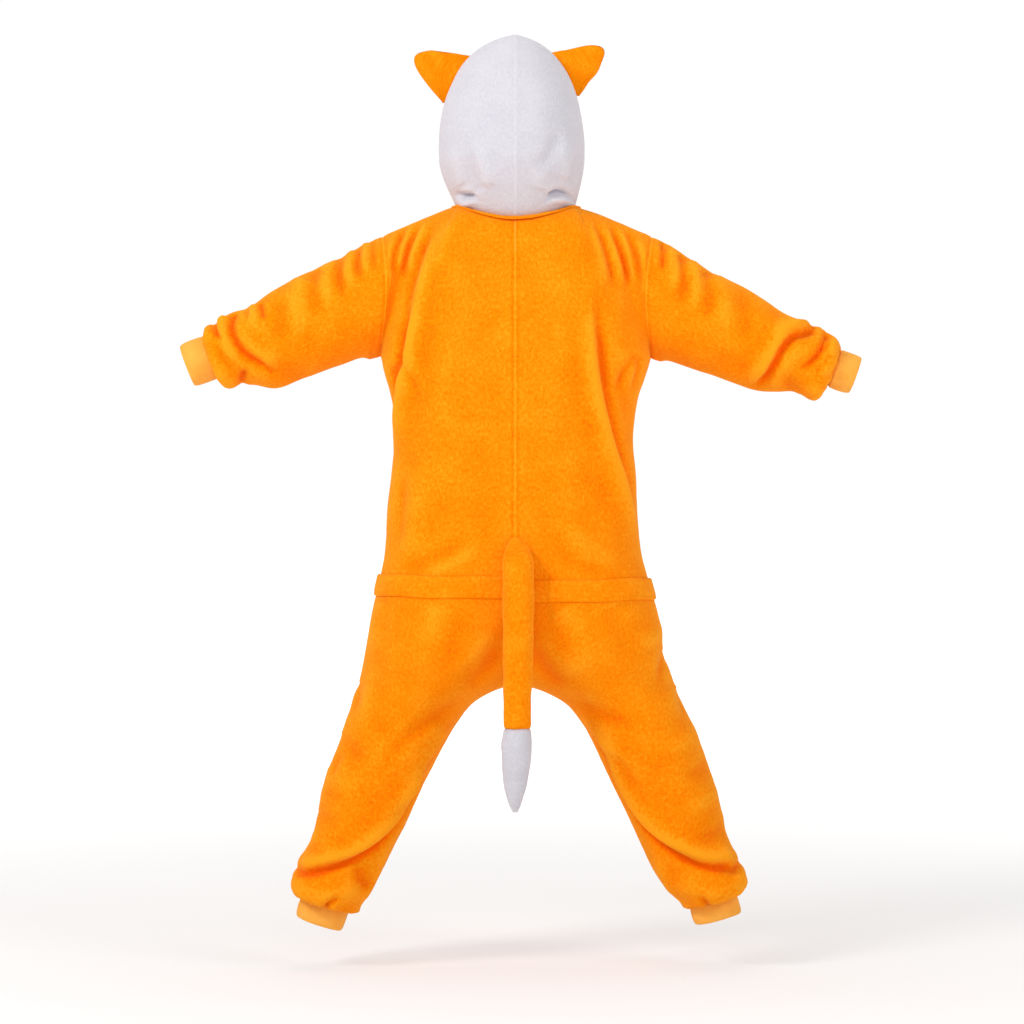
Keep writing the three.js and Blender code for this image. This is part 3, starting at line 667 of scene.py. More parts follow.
LEG_FOLDS = (
    overlap((-40, -616), (-84, -648), (-126, -680), (-158, -716), (-178, -752), w=22, h=2.2, side=1,
            fade=(0.3, 0.5)),
    overlap((-80, -652), (-104, -684), (-121, -706), (-136, -735), (-157, -757), (-176, -772), w=15,
            h=4.6, side=-1, fade=(0.15, 0.4)),
    overlap((-108, -702), (-129, -737), (-148, -765), (-171, -791), (-200, -813), (-238, -827),
            (-268, -835), w=13, h=7.0, side=-1, fade=(0.15, 0.05)),
    ridge((-84, -654), (-118, -700), (-150, -752), (-184, -790), (-222, -812), w=20, h=2.6,
          fade=(0.3, 0.2)),
    crease((-280, -836), (-268, -842), (-254, -843), w=11, h=5.5, fade=SHORT),
    ridge((-284, -862), (-250, -868), (-214, -866), (-186, -850), w=13, h=4.6, fade=(0.02, 0.3)),
    crease((-240, -884), (-230, -874), (-216, -868), w=8, h=4.4, fade=SHORT),
    ridge((-190, -884), (-178, -852), (-166, -818), (-146, -776), w=8, h=4.0, fade=FREE),
    hollow((-184, -862), (-196, -842), (-190, -822), w=8, h=3.4, fade=(0.1, 0.4)),
    hollow((-146, -640), (-190, -676), (-216, -720), w=22, h=3.0),
    crease((-196, -602), (-199, -622), (-206, -648), w=12, h=4.2, fade=(0.05, 0.6)),
    crease((-222, -690), (-226, -708), (-229, -728), w=9, h=2.8, fade=(0.2, 0.5)),
    hollow((-222, -668), (-206, -684), (-180, -698), w=9, h=2.2, fade=OUTLINE),
    ridge((-236, -712), (-218, -728), (-192, -740), w=12, h=2.2, fade=OUTLINE),
    hollow((-250, -764), (-234, -774), (-212, -780), w=9, h=2.2, fade=OUTLINE),
    ridge((-258, -796), (-240, -804), (-214, -806), w=11, h=2.4, fade=OUTLINE),
    overlap((44, -616), (92, -644), (132, -662), (172, -672), w=20, h=2.0, side=-1,
            fade=(0.3, 0.5)),
    overlap((94, -650), (116, -682), (132, -722), (154, -762), (184, -794), (220, -816),
            (245, -824),
            (276, -825), w=13, h=7.0, side=1, fade=(0.15, 0.05)),
    overlap((70, -634), (104, -662), (136, -690), (158, -722), (180, -760), w=18, h=2.8, side=1,
            fade=(0.2, 0.5)),
    ridge((88, -646), (128, -700), (160, -750), (196, -790), (230, -812), w=20, h=2.4,
          fade=(0.3, 0.2)),
    crease((290, -824), (278, -836), (262, -842), w=11, h=5.6, fade=SHORT),
    ridge((294, -856), (262, -866), (226, -862), (196, -840), w=13, h=4.2, fade=(0.02, 0.3)),
    crease((246, -886), (238, -874), (232, -864), w=8, h=4.0, fade=SHORT),
    ridge((198, -876), (186, -842), (168, -800), w=8, h=3.4, fade=FREE),
    ridge((190, -540), (170, -546), (146, -560), w=10, h=3.0, fade=(0.02, 0.6)),
    crease((189, -560), (185, -580), (179, -604), w=13, h=4.6, fade=(0.05, 0.6)),
    crease((207, -608), (210, -626), (216, -650), w=11, h=4.2, fade=(0.05, 0.6)),
    ridge((236, -664), (212, -676), (184, -690), w=13, h=2.8, fade=OUTLINE),
    hollow((250, -704), (234, -712), (206, -724), w=11, h=2.8, fade=OUTLINE),
    ridge((262, -738), (240, -750), (212, -764), w=12, h=2.6, fade=OUTLINE),
    hollow((272, -786), (252, -792), (228, -800), w=9, h=2.6, fade=OUTLINE),
    hollow((-60, -500), (-74, -550), (-60, -600), w=20, h=2.4),
    ridge((-92, -498), (-112, -550), (-122, -606), w=18, h=2.4, fade=(0.1, 0.4)),
    ridge((60, -500), (84, -552), (100, -612), w=18, h=2.6, fade=(0.1, 0.4)),
    hollow((120, -500), (134, -540), (140, -590), w=16, h=2.2, fade=(0.1, 0.4)),
    ridge((-168, -496), (-176, -530), (-172, -570), w=9, h=2.6, fade=FREE),
    hollow((16, -548), (38, -588), (70, -612), w=11, h=3.2),
    ridge((22, -528), (52, -566), (92, -592), w=11, h=2.2),
    hollow((-16, -548), (-38, -588), (-70, -612), w=11, h=3.2),
    ridge((-22, -528), (-52, -566), (-92, -592), w=11, h=2.2),
)


def sisters(folds: Sequence[Fold], share: float, seed: int) -> tuple[Fold, ...]:
    """Like folds for the garment's other face, each moved and weakened a little.

    Args:
        folds: The folds of the first face.
        share: The usual height of a sister.
        seed: The seed of the small differences.

    Returns:
        One sister for each fold.
    """
    rng = np.random.default_rng(seed)
    made = []
    for fold in folds:
        drift = rng.uniform(-7, 7, 2)
        height = share * float(rng.uniform(0.7, 1.2))
        made.append(fold.shifted(float(drift[0]), float(drift[1]), height))
    return tuple(made)


BODY_FOLDS = SHOULDER_FOLDS + SLEEVE_FOLDS + LEG_FOLDS
BODY_DRAPE = Drape(BODY_FOLDS, sisters(BODY_FOLDS, 0.75, 11), swell=0.6, strength=1.25, seed=3)

HOOD_FOLDS = (
    overlap((-84, 12), (-74, 8), (-64, 4), (-55, 3), (-49, -1), (-45, -6), w=7, h=4.8, side=-1,
            fade=(0.45, 0.5)),
    crease((-78, 15), (-66, 9), (-56, 7), (-49, 4), w=9, h=4.6, fade=(0.5, 0.3)),
    hollow((-44, 10), (-56, 44), (-64, 92), w=11, h=2.8, fade=(0.1, 0.6)),
    ridge((-34, 16), (-40, 50), (-50, 96), w=11, h=2.8, fade=(0.1, 0.6)),
    hollow((-20, 36), (-36, 66), (-54, 98), w=10, h=2.4),
    ridge((-68, 20), (-76, 44), (-82, 80), w=8, h=2.4, fade=FREE),
    overlap((36, -6), (42, 0), (48, 6), (57, 8), (67, 5), (78, -2), w=7, h=4.8, side=-1,
            fade=(0.45, 0.4)),
    crease((41, 2), (48, 10), (58, 13), (69, 9), w=9, h=4.6, fade=(0.3, 0.5)),
    hollow((24, 34), (40, 52), (52, 76), (56, 96), w=9, h=3.0, fade=(0.3, 0.4)),
    ridge((60, 26), (64, 56), (58, 104), w=10, h=3.0, fade=FREE),
    ridge((30, 14), (36, 36), (36, 60), w=10, h=2.2, fade=FREE),
    hollow((70, 24), (76, 46), (79, 76), w=7, h=2.6, fade=FREE),
    hollow((-30, 70), (-36, 110), (-30, 160), w=22, h=1.8),
    ridge((24, 70), (30, 110), (24, 160), w=20, h=1.6),
)
HOOD_DRAPE = Drape(HOOD_FOLDS, sisters(HOOD_FOLDS, 0.5, 17), swell=0.6, strength=1.15, seed=9)


# ---------------------------------------------------------------- finishes


@dataclass(frozen=True)
class Shades:
    """The linear colours of a pile: its tips, its body and its depths; hollow is painted shade for
    the hollows of its folds, and rim a painted highlight at grazing angles.
    """

    light: Colour
    body: Colour
    deep: Colour
    hollow: Colour
    rim: Colour = (1.0, 0.42, 0.05)


def give(node: bpy.types.Node, inputs: dict[str, object]) -> None:
    """Sets a node's unlinked inputs by their names."""
    for name, value in inputs.items():
        node.inputs[name].default_value = value


class NodeSheet:
    """A material's node tree, with short calls for the nodes that the finishes use."""

    def __init__(self, name: str) -> None:
        """Starts a material with one Principled shader.

        Args:
            name: The material's name.
        """
        self.material = bpy.data.materials.new(name)
        self.material.use_nodes = True
        self.nodes = self.material.node_tree.nodes
        self.links = self.material.node_tree.links
        self.shader = self.nodes["Principled BSDF"]

    def link(self, source: Socket, target: Socket) -> None:
        """Joins two sockets."""
        self.links.new(source, target)

    def place(self, uv: bool, scale: Triple) -> Socket:
        """Coordinates on the cloth (uv) or in the object's space, scaled.

        Args:
            uv: Whether to read the cloth's own map.
            scale: The scale on each axis.

        Returns:
            The coordinates.
        """
        source = self.nodes.new("ShaderNodeTexCoord")
        mapping = self.nodes.new("ShaderNodeMapping")
        give(mapping, {"Scale": scale})
        self.link(source.outputs["UV" if uv else "Object"], mapping.inputs["Vector"])
        return mapping.outputs["Vector"]

    def attribute(self, name: str) -> Socket:
        """The value of one of the mesh's attributes.

        Args:
            name: The attribute's name.

        Returns:
            Its value.
        """
        node = self.nodes.new("ShaderNodeAttribute")
        node.attribute_name = name
        return node.outputs["Fac"]

    def noise(self, where: Socket, scale: float, detail: float,
              rough: float = 0.5) -> Socket:
        """A noise texture's value.

        Args:
            where: The coordinates.
            scale: How fine it is.
            detail: How many octaves it has.
            rough: How strong the fine octaves are.

        Returns:
            The noise, from 0 to 1.
        """
        texture = self.nodes.new("ShaderNodeTexNoise")
        give(texture, {"Scale": scale, "Detail": detail, "Roughness": rough})
        self.link(where, texture.inputs["Vector"])
        return texture.outputs["Fac"]

    def math(self, operation: str, first: Socket,
             second: Socket | float) -> Socket:
        """A sum or product of two values.

        Args:
            operation: The operation's name.
            first: The first value.
            second: The second value, a socket or a number.

        Returns:
            The result.
        """
        node = self.nodes.new("ShaderNodeMath")
        node.operation = operation
        self.link(first, node.inputs[0])
        if isinstance(second, (int, float)):
            node.inputs[1].default_value = second
        else:
            self.link(second, node.inputs[1])
        return node.outputs[0]

    def ramp(self, value: Socket,
             stops: Sequence[tuple[float, Colour]]) -> Socket:
        """A colour ramp with the given stops.

        Args:
            value: What picks the colour.
            stops: Each stop's place and colour.

        Returns:
            The colour.
        """
        node = self.nodes.new("ShaderNodeValToRGB")
        elements = node.color_ramp.elements
        while len(elements) < len(stops):
            elements.new(0.5)
        for element, (at, colour) in zip(elements, stops):
            element.position = at
            element.color = (*colour, 1)
        self.link(value, node.inputs["Fac"])
        return node.outputs["Color"]

    def blend(self, share: Socket, low: Socket, high: Socket) -> Socket:
        """Two colours blended by a share.

        Args:
            share: 0 for the first, 1 for the second.
            low: The first colour.
            high: The second colour.

        Returns:
            The blended colour.
        """
        node = self.nodes.new("ShaderNodeMix")
        node.data_type = "RGBA"
        self.link(share, node.inputs[0])
        self.link(low, node.inputs[6])
        self.link(high, node.inputs[7])
        return node.outputs[2]

    def bump(self, height: Socket, distance: float, strength: float,
             before: Socket | None = None) -> Socket:
        """A bump node's normal, over an earlier one.

        Args:
            height: The relief.
            distance: Its depth in metres.
            strength: How strongly it counts.
            before: A normal to start from.

        Returns:
            The bumped normal.
        """
        node = self.nodes.new("ShaderNodeBump")
        give(node, {"Distance": distance, "Strength": strength})
        self.link(height, node.inputs["Height"])
        if before is not None:
            self.link(before, node.inputs["Normal"])
        return node.outputs["Normal"]


@dataclass(frozen=True)
class Plush:
    """Short-pile plush: mottled nap, tufts, and a soft sheen at grazing angles, partly the shader's
    sheen and partly a painted rim highlight in the colour; fold ridges are painted lighter and fold
    hollows darker, as painted highlight and painted shade.
    """

    name: str
    shades: Shades
    sheen: float
    sheen_tint: Colour
    mottle: float = 1.0
    # crest: how strongly the fold relief paints the colour, as painted highlight on ridges and
    # painted shade in hollows.
    crest: float = 0.042

    def material(self) -> bpy.types.Material:
        """Builds the material.

        Returns:
            The finished material.
        """
        sheet = NodeSheet(self.name)
        cloth = sheet.place(uv=True, scale=(1, 1, 1))
        nap = sheet.place(uv=True, scale=(1, 0.42, 1))
        space = sheet.place(uv=False, scale=(1, 1, 1))
        streaks = sheet.noise(nap, 420, 4, 0.62)
        tufts = sheet.noise(cloth, 230, 3, 0.6)
        brushed = sheet.noise(space, 30, 4, 0.6)
        fibres = sheet.noise(nap, 1500, 2, 0.6)
        # Painted highlight and painted shade: the fold relief in crest lifts ridges towards the
        # light colour and sinks hollows down to the hollow colour.
        crest = sheet.attribute("crest")
        value = sheet.math("MULTIPLY", streaks, 0.40)
        value = sheet.math("ADD", value, sheet.math("MULTIPLY", tufts, 0.38))
        value = sheet.math("ADD", value, sheet.math("MULTIPLY", brushed, 0.22))
        value = sheet.math("ADD", value, sheet.math("MULTIPLY", crest, self.crest))
        spread = 0.17 / self.mottle
        tone = self.shades
        colour = sheet.ramp(value, ((0.5 - 1.6 * spread, tone.hollow),
                                    (0.5 - 0.7 * spread, tone.deep),
                                    (0.5, tone.body), (0.5 + spread, tone.light)))
        # Painted rim highlight: the colour is blended towards the rim colour at grazing angles.
        rim_highlight_mask = sheet.nodes.new("ShaderNodeLayerWeight")
        give(rim_highlight_mask, {"Blend": 0.3})
        rim = sheet.nodes.new("ShaderNodeRGB")
        rim.outputs[0].default_value = (*tone.rim, 1)
        share = sheet.math("MULTIPLY", sheet.math("POWER", rim_highlight_mask.outputs["Facing"], 2.2), 0.9)
        colour = sheet.blend(share, colour, rim.outputs[0])
        sheet.link(colour, sheet.shader.inputs["Base Color"])
        rough = sheet.math("ADD", sheet.math("MULTIPLY", fibres, 0.12), 0.84)
        sheet.link(rough, sheet.shader.inputs["Roughness"])
        normal = sheet.bump(tufts, 0.0016, 0.5)
        normal = sheet.bump(streaks, 0.0010, 0.55, normal)
        normal = sheet.bump(fibres, 0.0004, 0.6, normal)
        sheet.link(normal, sheet.shader.inputs["Normal"])
        give(sheet.shader, {"Sheen Weight": self.sheen, "Sheen Roughness": 0.42,
                            "Sheen Tint": (*self.sheen_tint, 1), "Specular IOR Level": 0.03})
        return sheet.material


@dataclass(frozen=True)
class Rib:
    """Smooth knitted rib: fine wales along the cuff with a faint stitch across them."""

    name: str
    shades: Shades

    def material(self) -> bpy.types.Material:
        """Builds the material.

        Returns:
            The finished material.
        """
        sheet = NodeSheet(self.name)
        cloth = sheet.place(uv=True, scale=(1, 1, 1))
        wales = sheet.nodes.new("ShaderNodeTexWave")
        wales.wave_type = "BANDS"
        wales.bands_direction = "X"
        give(wales, {"Scale": 190, "Distortion": 0.8, "Detail": 2, "Detail Scale": 2.0})
        sheet.link(cloth, wales.inputs["Vector"])
        slow = sheet.noise(cloth, 60, 3)
        fuzz = sheet.noise(cloth, 1400, 2)
        value = sheet.math("ADD", sheet.math("MULTIPLY", wales.outputs["Fac"], 0.18),
                           sheet.math("MULTIPLY", slow, 0.62))
        value = sheet.math("ADD", value, sheet.math("MULTIPLY", fuzz, 0.2))
        tone = self.shades
        colour = sheet.ramp(value, ((0.3, tone.deep), (0.5, tone.body), (0.7, tone.light)))
        sheet.link(colour, sheet.shader.inputs["Base Color"])
        normal = sheet.bump(wales.outputs["Fac"], 0.0005, 0.35)
        normal = sheet.bump(fuzz, 0.0003, 0.4, normal)
        sheet.link(normal, sheet.shader.inputs["Normal"])
        give(sheet.shader, {"Roughness": 0.86, "Sheen Weight": 0.12, "Sheen Roughness": 0.5,
                            "Sheen Tint": (1.0, 0.62, 0.2, 1), "Specular IOR Level": 0.2})
        return sheet.material


@dataclass(frozen=True)
class Moulded:
    """Satin moulded plastic with a faint grain."""

    name: str
    colour: Colour

    def material(self) -> bpy.types.Material:
        """Builds the material.

        Returns:
            The finished material.
        """
        sheet = NodeSheet(self.name)
        space = sheet.place(uv=False, scale=(1, 1, 1))
        grain = sheet.noise(space, 500, 3)
        low = tuple(0.86 * part for part in self.colour)
        colour = sheet.ramp(grain, ((0.3, low), (0.7, self.colour)))
        sheet.link(colour, sheet.shader.inputs["Base Color"])
        sheet.link(sheet.bump(grain, 0.0002, 0.3), sheet.shader.inputs["Normal"])
        sheet.shader.inputs["Roughness"].default_value = 0.34
        return sheet.material


class Wardrobe:
    """The finishes of the garment, each made once."""

    def __init__(self) -> None:
        """Makes the materials."""
        # Each hollow colour is painted shade for fold hollows, and each rim colour a painted
        # highlight at grazing angles.
        orange = Shades((0.96, 0.33, 0.010), (0.93, 0.245, 0.001), (0.91, 0.195, 0.0005),
                        (0.88, 0.13, 0.0002))
        white = Shades((0.65, 0.635, 0.68), (0.585, 0.57, 0.615), (0.54, 0.52, 0.575),
                       (0.43, 0.41, 0.47),
                       rim=(0.64, 0.625, 0.665))
        rib = Shades((0.97, 0.45, 0.07), (0.93, 0.40, 0.05), (0.88, 0.34, 0.034),
                     (0.85, 0.30, 0.03))
        self.orange = Plush("orange_plush", orange, 0.15, (1.0, 0.48, 0.01), mottle=1.3).material()
        self.white = Plush("white_plush", white, 0.25, (1.0, 0.98, 1.0), mottle=0.8).material()
        self.rib = Rib("orange_rib", rib).material()
        self.plastic = Moulded("button_plastic", (0.80, 0.24, 0.02)).material()


class Slot(Enum):
    """The material slots."""

    ORANGE = "plush_orange"
    WHITE = "plush_white"
    RIB = "rib_orange"
    BUTTON = "button_plastic"


# ---------------------------------------------------------------- cloth in Blender


def blurred(values: Points, reach: int, closed: bool) -> Points:
    """A grid's values spread over their neighbours.

    Args:
        values: The grid's values.
        reach: How many neighbours each side count.
        closed: Whether the columns go round.

    Returns:
        The spread values.
    """
    for _ in range(2):
        for axis in (0, 1):
            pad = [(reach, reach) if k == axis else (0, 0) for k in (0, 1)]
            wide = np.pad(values, pad, mode="wrap" if closed and axis == 1 else "edge")
            run = np.cumsum(np.insert(wide, 0, 0.0, axis=axis), axis=axis)
            span = 2 * reach + 1
            ahead = np.take(run, np.arange(span, run.shape[axis]), axis=axis)
            behind = np.take(run, np.arange(run.shape[axis] - span), axis=axis)
            values = (ahead - behind) / span
    return values


@dataclass
class Cut:
    """A piece of cloth as a grid of outer points, before it becomes a mesh.

    points are in millimetres, rows by columns. normals point out of the garment. closed
    marks a tube whose first and last columns are the same line.
    """

    name: str
    points: Points
    normals: Points
    closed: bool = False
    flat_size: Pair = field(init=False)
    flat_area: float = field(init=False)

    def __post_init__(self) -> None:
        """Takes the flat size of the cut from its smooth form."""
        across = lengths_along(self.points, 1)
        upward = lengths_along(self.points, 0)
        width, length = float(across[:, -1].max()), float(upward[-1].max())
        self.flat_size = (width * MM, length * MM)
        sides_u = np.linalg.norm(np.diff(self.points, axis=1), axis=2)
        sides_v = np.linalg.norm(np.diff(self.points, axis=0), axis=2)
        quads = (sides_u[:-1] + sides_u[1:]) / 2 * (sides_v[:, :-1] + sides_v[:, 1:]) / 2
        area = float(quads.sum()) * MM * MM
        whole = width * length * MM * MM
        self.flat_area = min(max(area, LEAST_AREA_SHARE * whole), whole)
        self.nap = np.stack([across, upward], axis=2) * MM
        self.crest = np.zeros(self.points.shape[:2])

    def dress(self, relief: Points) -> "Cut":
        """Moves the points out along their normals, and keeps how far each stands out locally.

        Args:
            relief: How far each point moves out.

        Returns:
            The cut itself.
        """
        self.points = self.points + self.normals * relief[..., None]
        relief = np.broadcast_to(relief, self.points.shape[:2])
        # crest keeps the local stand-out, which the finishes paint as highlight on ridges and shade
        # in hollows.
        self.crest = self.crest + relief - blurred(relief, CREST_REACH, self.closed)
        return self


def deselect() -> None:
    """Clears the selection and leaves edit mode."""
    if bpy.context.mode != "OBJECT":
        bpy.ops.object.mode_set(mode="OBJECT")
    bpy.ops.object.select_all(action="DESELECT")


def activate(piece: bpy.types.Object) -> None:
    """Makes one object the only selected and active one.

    Args:
        piece: The object.
    """
    deselect()
    piece.select_set(True)
    bpy.context.view_layer.objects.active = piece


def apply_modifier(piece: bpy.types.Object, kind: str, **settings: object) -> None:
    """Adds a modifier with its settings and applies it.

    Args:
        piece: The object to change.
        kind: The modifier's type.
        settings: The modifier's properties.
    """
    activate(piece)
    modifier = piece.modifiers.new(kind.title(), kind)
    for name, value in settings.items():
        setattr(modifier, name, value)
    bpy.ops.object.modifier_apply(modifier=modifier.name)


def lay_grid(cut: Cut) -> bpy.types.Object:
    """Makes an open mesh from a cut's grid, with the nap's coordinates and the crests' heights.

    Args:
        cut: The grid of points.

    Returns:
        The mesh object, one face deep.
    """
    points, nap, crest = cut.points, cut.nap, cut.crest
    facing = np.cross(points[1:, :-1] - points[:-1, :-1], points[:-1, 1:] - points[:-1, :-1])
    if (facing * cut.normals[:-1, :-1]).sum() > 0:
        points, nap, crest = points[:, ::-1], nap[:, ::-1], crest[:, ::-1]
    rows, columns = points.shape[:2]
    deselect()
    bpy.ops.mesh.primitive_grid_add(x_subdivisions=columns - 1, y_subdivisions=rows - 1, size=2)
    piece = bpy.context.active_object
    piece.name = piece.data.name = f"{cut.name}_cloth"
    mesh = piece.data
    flat = np.zeros(len(mesh.vertices) * 3, np.float32)
    mesh.vertices.foreach_get("co", flat)
    flat = flat.reshape(-1, 3)
    j = np.rint((flat[:, 0] + 1) / 2 * (columns - 1)).astype(int)
    i = np.rint((flat[:, 1] + 1) / 2 * (rows - 1)).astype(int)
    mesh.vertices.foreach_set("co", (points[i, j] * MM).astype(np.float32).ravel())
    # The crest attribute carries the folds' painted highlight and painted shade to the finish.
    mesh.attributes.new("crest", "FLOAT", "POINT").data.foreach_set(
        "value", crest[i, j].astype(np.float32).ravel())
    corner = np.zeros(len(mesh.loops), np.int32)
    mesh.loops.foreach_get("vertex_index", corner)
    layer = mesh.uv_layers.active or mesh.uv_layers.new(name="nap")
    layer.name = "nap"
    layer.data.foreach_set("uv", nap[i[corner], j[corner]].astype(np.float32).ravel())
    mesh.update()
    return piece


def weld(piece: bpy.types.Object) -> None:
    """Merges a piece's doubled vertices, and leaves it in edit mode."""
    activate(piece)
    bpy.ops.object.mode_set(mode="EDIT")
    bpy.ops.mesh.select_all(action="SELECT")
    bpy.ops.mesh.remove_doubles(threshold=WELD)


def dye(piece: bpy.types.Object, material: bpy.types.Material) -> None:
    """Gives a piece one finish."""
    piece.data.materials.clear()
    piece.data.materials.append(material)


def sew(cut: Cut, thickness: float, material: bpy.types.Material,
        inward: bool = True) -> bpy.types.Object:
    """Makes a cut a mesh with its thickness.

    Args:
        cut: The grid of outer points.
        thickness: The wall, in millimetres.
        material: Its finish.
        inward: Whether the wall grows inwards from the points, else outwards.

    Returns:
        The finished cloth object.
    """
    piece = lay_grid(cut)
    if cut.closed:
        weld(piece)
        bpy.ops.object.mode_set(mode="OBJECT")
    apply_modifier(piece, "SOLIDIFY", thickness=thickness * MM, offset=-1.0 if inward else 1.0,
                   use_rim=True, use_even_offset=False)
    activate(piece)
    bpy.ops.object.shade_smooth_by_angle(angle=math.radians(CREASED_DEGREES))
    dye(piece, material)
    return piece


def finish_cloth(piece: bpy.types.Object, cut: Cut, slot: Slot, *nodes: str) -> None:
    """Ties a cloth piece to the frame, hides the CAD nodes that it stands for and logs its faces.

    Args:
        piece: The cloth object.
        cut: The cut that it was made from; not used.
        slot: The material slot; not used.
        nodes: The CAD nodes that it stands for.
    """
    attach(piece, "root")
    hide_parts(*nodes)
    log.info("%s: %d faces", piece.name, len(piece.data.polygons))


# ---------------------------------------------------------------- the body's form


def trunk_point(side: Side, face: Face, u: Points, z: float) -> Points:
    """Points of a level section of the trunk.

    Args:
        side: The half of the garment.
        face: Its back or front.
        u: From 0 at the side seam to 1 in the middle.
        z: The section's height.

    Returns:
        One point for each u.
    """
    outer = column(TRUNK, "z", side.word, z)
    depth = column(TRUNK, "z", face.name.lower(), z)
    fork = float(np.clip((SEAT_TOP_Z - z) / (SEAT_TOP_Z - CROTCH_Z), 0, 1))
    roundness = float(mix(TRUNK_ROUND, LEG_ROUND, fork))
    angle = u * math.acos(-(fork ** (roundness / 2)))
    reach = outer / (1 + fork)
    x = side.value * reach * (fork + power(np.cos(angle), 2 / roundness))
    y = face.value * depth * power(np.maximum(0, np.sin(angle)), 2 / roundness)
    return np.stack([x, y, np.full_like(u, z)], axis=-1)


def leg_point(side: Side, face: Face, u: Points, row: float) -> Points:
    """Points of a leg's ring, from its outer seam (u 0) to its inner seam (u 1).

    Args:
        side: The half of the garment.
        face: Its back or front.
        u: Places across, from 0 at the side to 1 in the middle.
        row: The ring's place in the leg's table.

    Returns:
        One point for each u.
    """
    rings = LEGS[side]
    names = ("outer", "inner", "drop", "tilt", "depth")
    outer, inner, drop, tilt, depth = (float(column(rings, "index", name, row)) for name in names)
    across = (outer - inner) / 2 * np.cos(u * math.pi)
    x = side.value * ((outer + inner) / 2 + across)
    y = face.value * depth * np.sin(u * math.pi)
    z = CROTCH_Z - drop + across * math.tan(math.radians(tilt))
    return np.stack([x, y, z], axis=-1)


def neckline_point(side: Side, face: Face, turn: Points) -> Points:
    """Points of the neckline, from the shoulder (turn 0) to the middle (turn 1).

    Args:
        side: The half of the garment.
        face: Its back or front.
        turn: Places from the shoulder to the middle.

    Returns:
        One point for each turn.
    """
    angle = turn * math.pi / 2
    rear = face is Face.BACK
    depth, drop = (NECK.back, NECK.back_drop) if rear else (NECK.front, NECK.front_drop)
    half = NECK.left if side is Side.LEFT else NECK.right
    return np.stack([side.value * half * np.cos(angle), face.value * depth * np.sin(angle),
                     -drop * np.sin(angle) ** 2], axis=-1)


def top_edge(side: Side, face: Face, u: Points) -> Points:
    """Points of a panel's top edge: shoulder seam, then neckline.

    Args:
        side: The half of the garment.
        face: Its back or front.
        u: Places across, from 0 at the side to 1 in the middle.

    Returns:
        One point for each u.
    """
    tip, drop = SHOULDER_TIP[side]
    half = NECK.left if side is Side.LEFT else NECK.right
    share = np.clip(u / SHOULDER_SHARE, 0, 1)
    seam = np.stack([side.value * mix(tip, half, share), np.zeros_like(u),
                     -drop * (1 - share) ** 1.15], axis=-1)
    turn = np.clip((u - SHOULDER_SHARE) / (1 - SHOULDER_SHARE), 0, 1)
    neck = neckline_point(side, face, turn)
    return np.where((u >= SHOULDER_SHARE)[..., None], neck, seam)


def yoke_point(side: Side, face: Face, u: Points, climb: float) -> Points:
    """Points above the underarm, from the underarm's level (climb 0) to the top edge (climb 1).

    Args:
        side: The half of the garment.
        face: Its back or front.
        u: Places across, from 0 at the side to 1 in the middle.
        climb: How far up the yoke.

    Returns:
        One point for each u.
    """
    low = trunk_point(side, face, u, UNDERARM_Z)
    high = top_edge(side, face, u)
    arm = (1 - math.cos(math.pi * climb)) / 2
    middle = math.sin(math.pi * climb / 2) ** 1.05
    height = mix(arm, middle, ease(u / 0.35))
    lean = 0.5 * ease((u - SHOULDER_SHARE) / (1 - SHOULDER_SHARE))
    roll = mix((1 - height ** 2.4) ** (1 / 2.4), 1 - height, lean)
    body = np.abs(mix(high[..., 1], low[..., 1], roll))
    pointed = 0.5 + 0.3 * (1 - height) ** 2
    bulge = np.maximum(0, 4 * height * (1 - height)) ** pointed
    armhole = ARMHOLE_DEPTH * bulge * (1 - ease(u / 0.6))
    bow = 9 * np.sin(math.pi * height) * (1 - u) ** 3
    return np.stack([mix(low[..., 0], high[..., 0], height ** 1.6) - side.value * bow,
                     face.value * (armhole ** 3 + body ** 3) ** (1 / 3),
                     mix(low[..., 2], high[..., 2], height)], axis=-1)


def body_row(side: Side, face: Face, u: Points, level: float) -> Points:
    """One row of the body: level 0..1 is the leg, 1..2 the trunk and 2..3 the yoke.

    Args:
        side: The half of the garment.
        face: Its back or front.
        u: Places across, from 0 at the side to 1 in the middle.
        level: The row's level.

    Returns:
        One point for each u.
    """
    if level < 1:
        return leg_point(side, face, u, (1 - level) * (len(LEGS[side]) - 1))
    if level <= 2:
        return trunk_point(side, face, u, float(mix(CROTCH_Z, UNDERARM_Z, level - 1)))
    return yoke_point(side, face, u, level - 2)


def level_of(z: float) -> float:
    """The level of a height on the trunk."""
    return 1 + (z - CROTCH_Z) / (UNDERARM_Z - CROTCH_Z)


def even_levels(side: Side, face: Face, low: float, high: float, grain: float = GRAIN) -> Points:
    """Levels that lie about a grain apart on the cloth.

    Args:
        side: The half of the garment.
        face: Its back or front.
        low: The first level.
        high: The last level.
        grain: The wanted step in millimetres.

    Returns:
        The levels, rising.
    """
    dense = np.linspace(low, high, 700)
    probes = np.array([0.0, 0.3, 0.6, 1.0])
    rows = np.stack([body_row(side, face, probes, float(level)) for level in dense])
    steps = np.linalg.norm(np.diff(rows, axis=0), axis=2).mean(axis=1)
    run = running(steps)
    return np.interp(spaced(run[-1], grain) * run[-1], run, dense)


class Seams(NamedTuple):
    """How deep each edge of a panel is drawn in by its seam."""

    start: float = 0.0
    end: float = 0.0
    bottom: float = 0.0
    top: float = 0.0


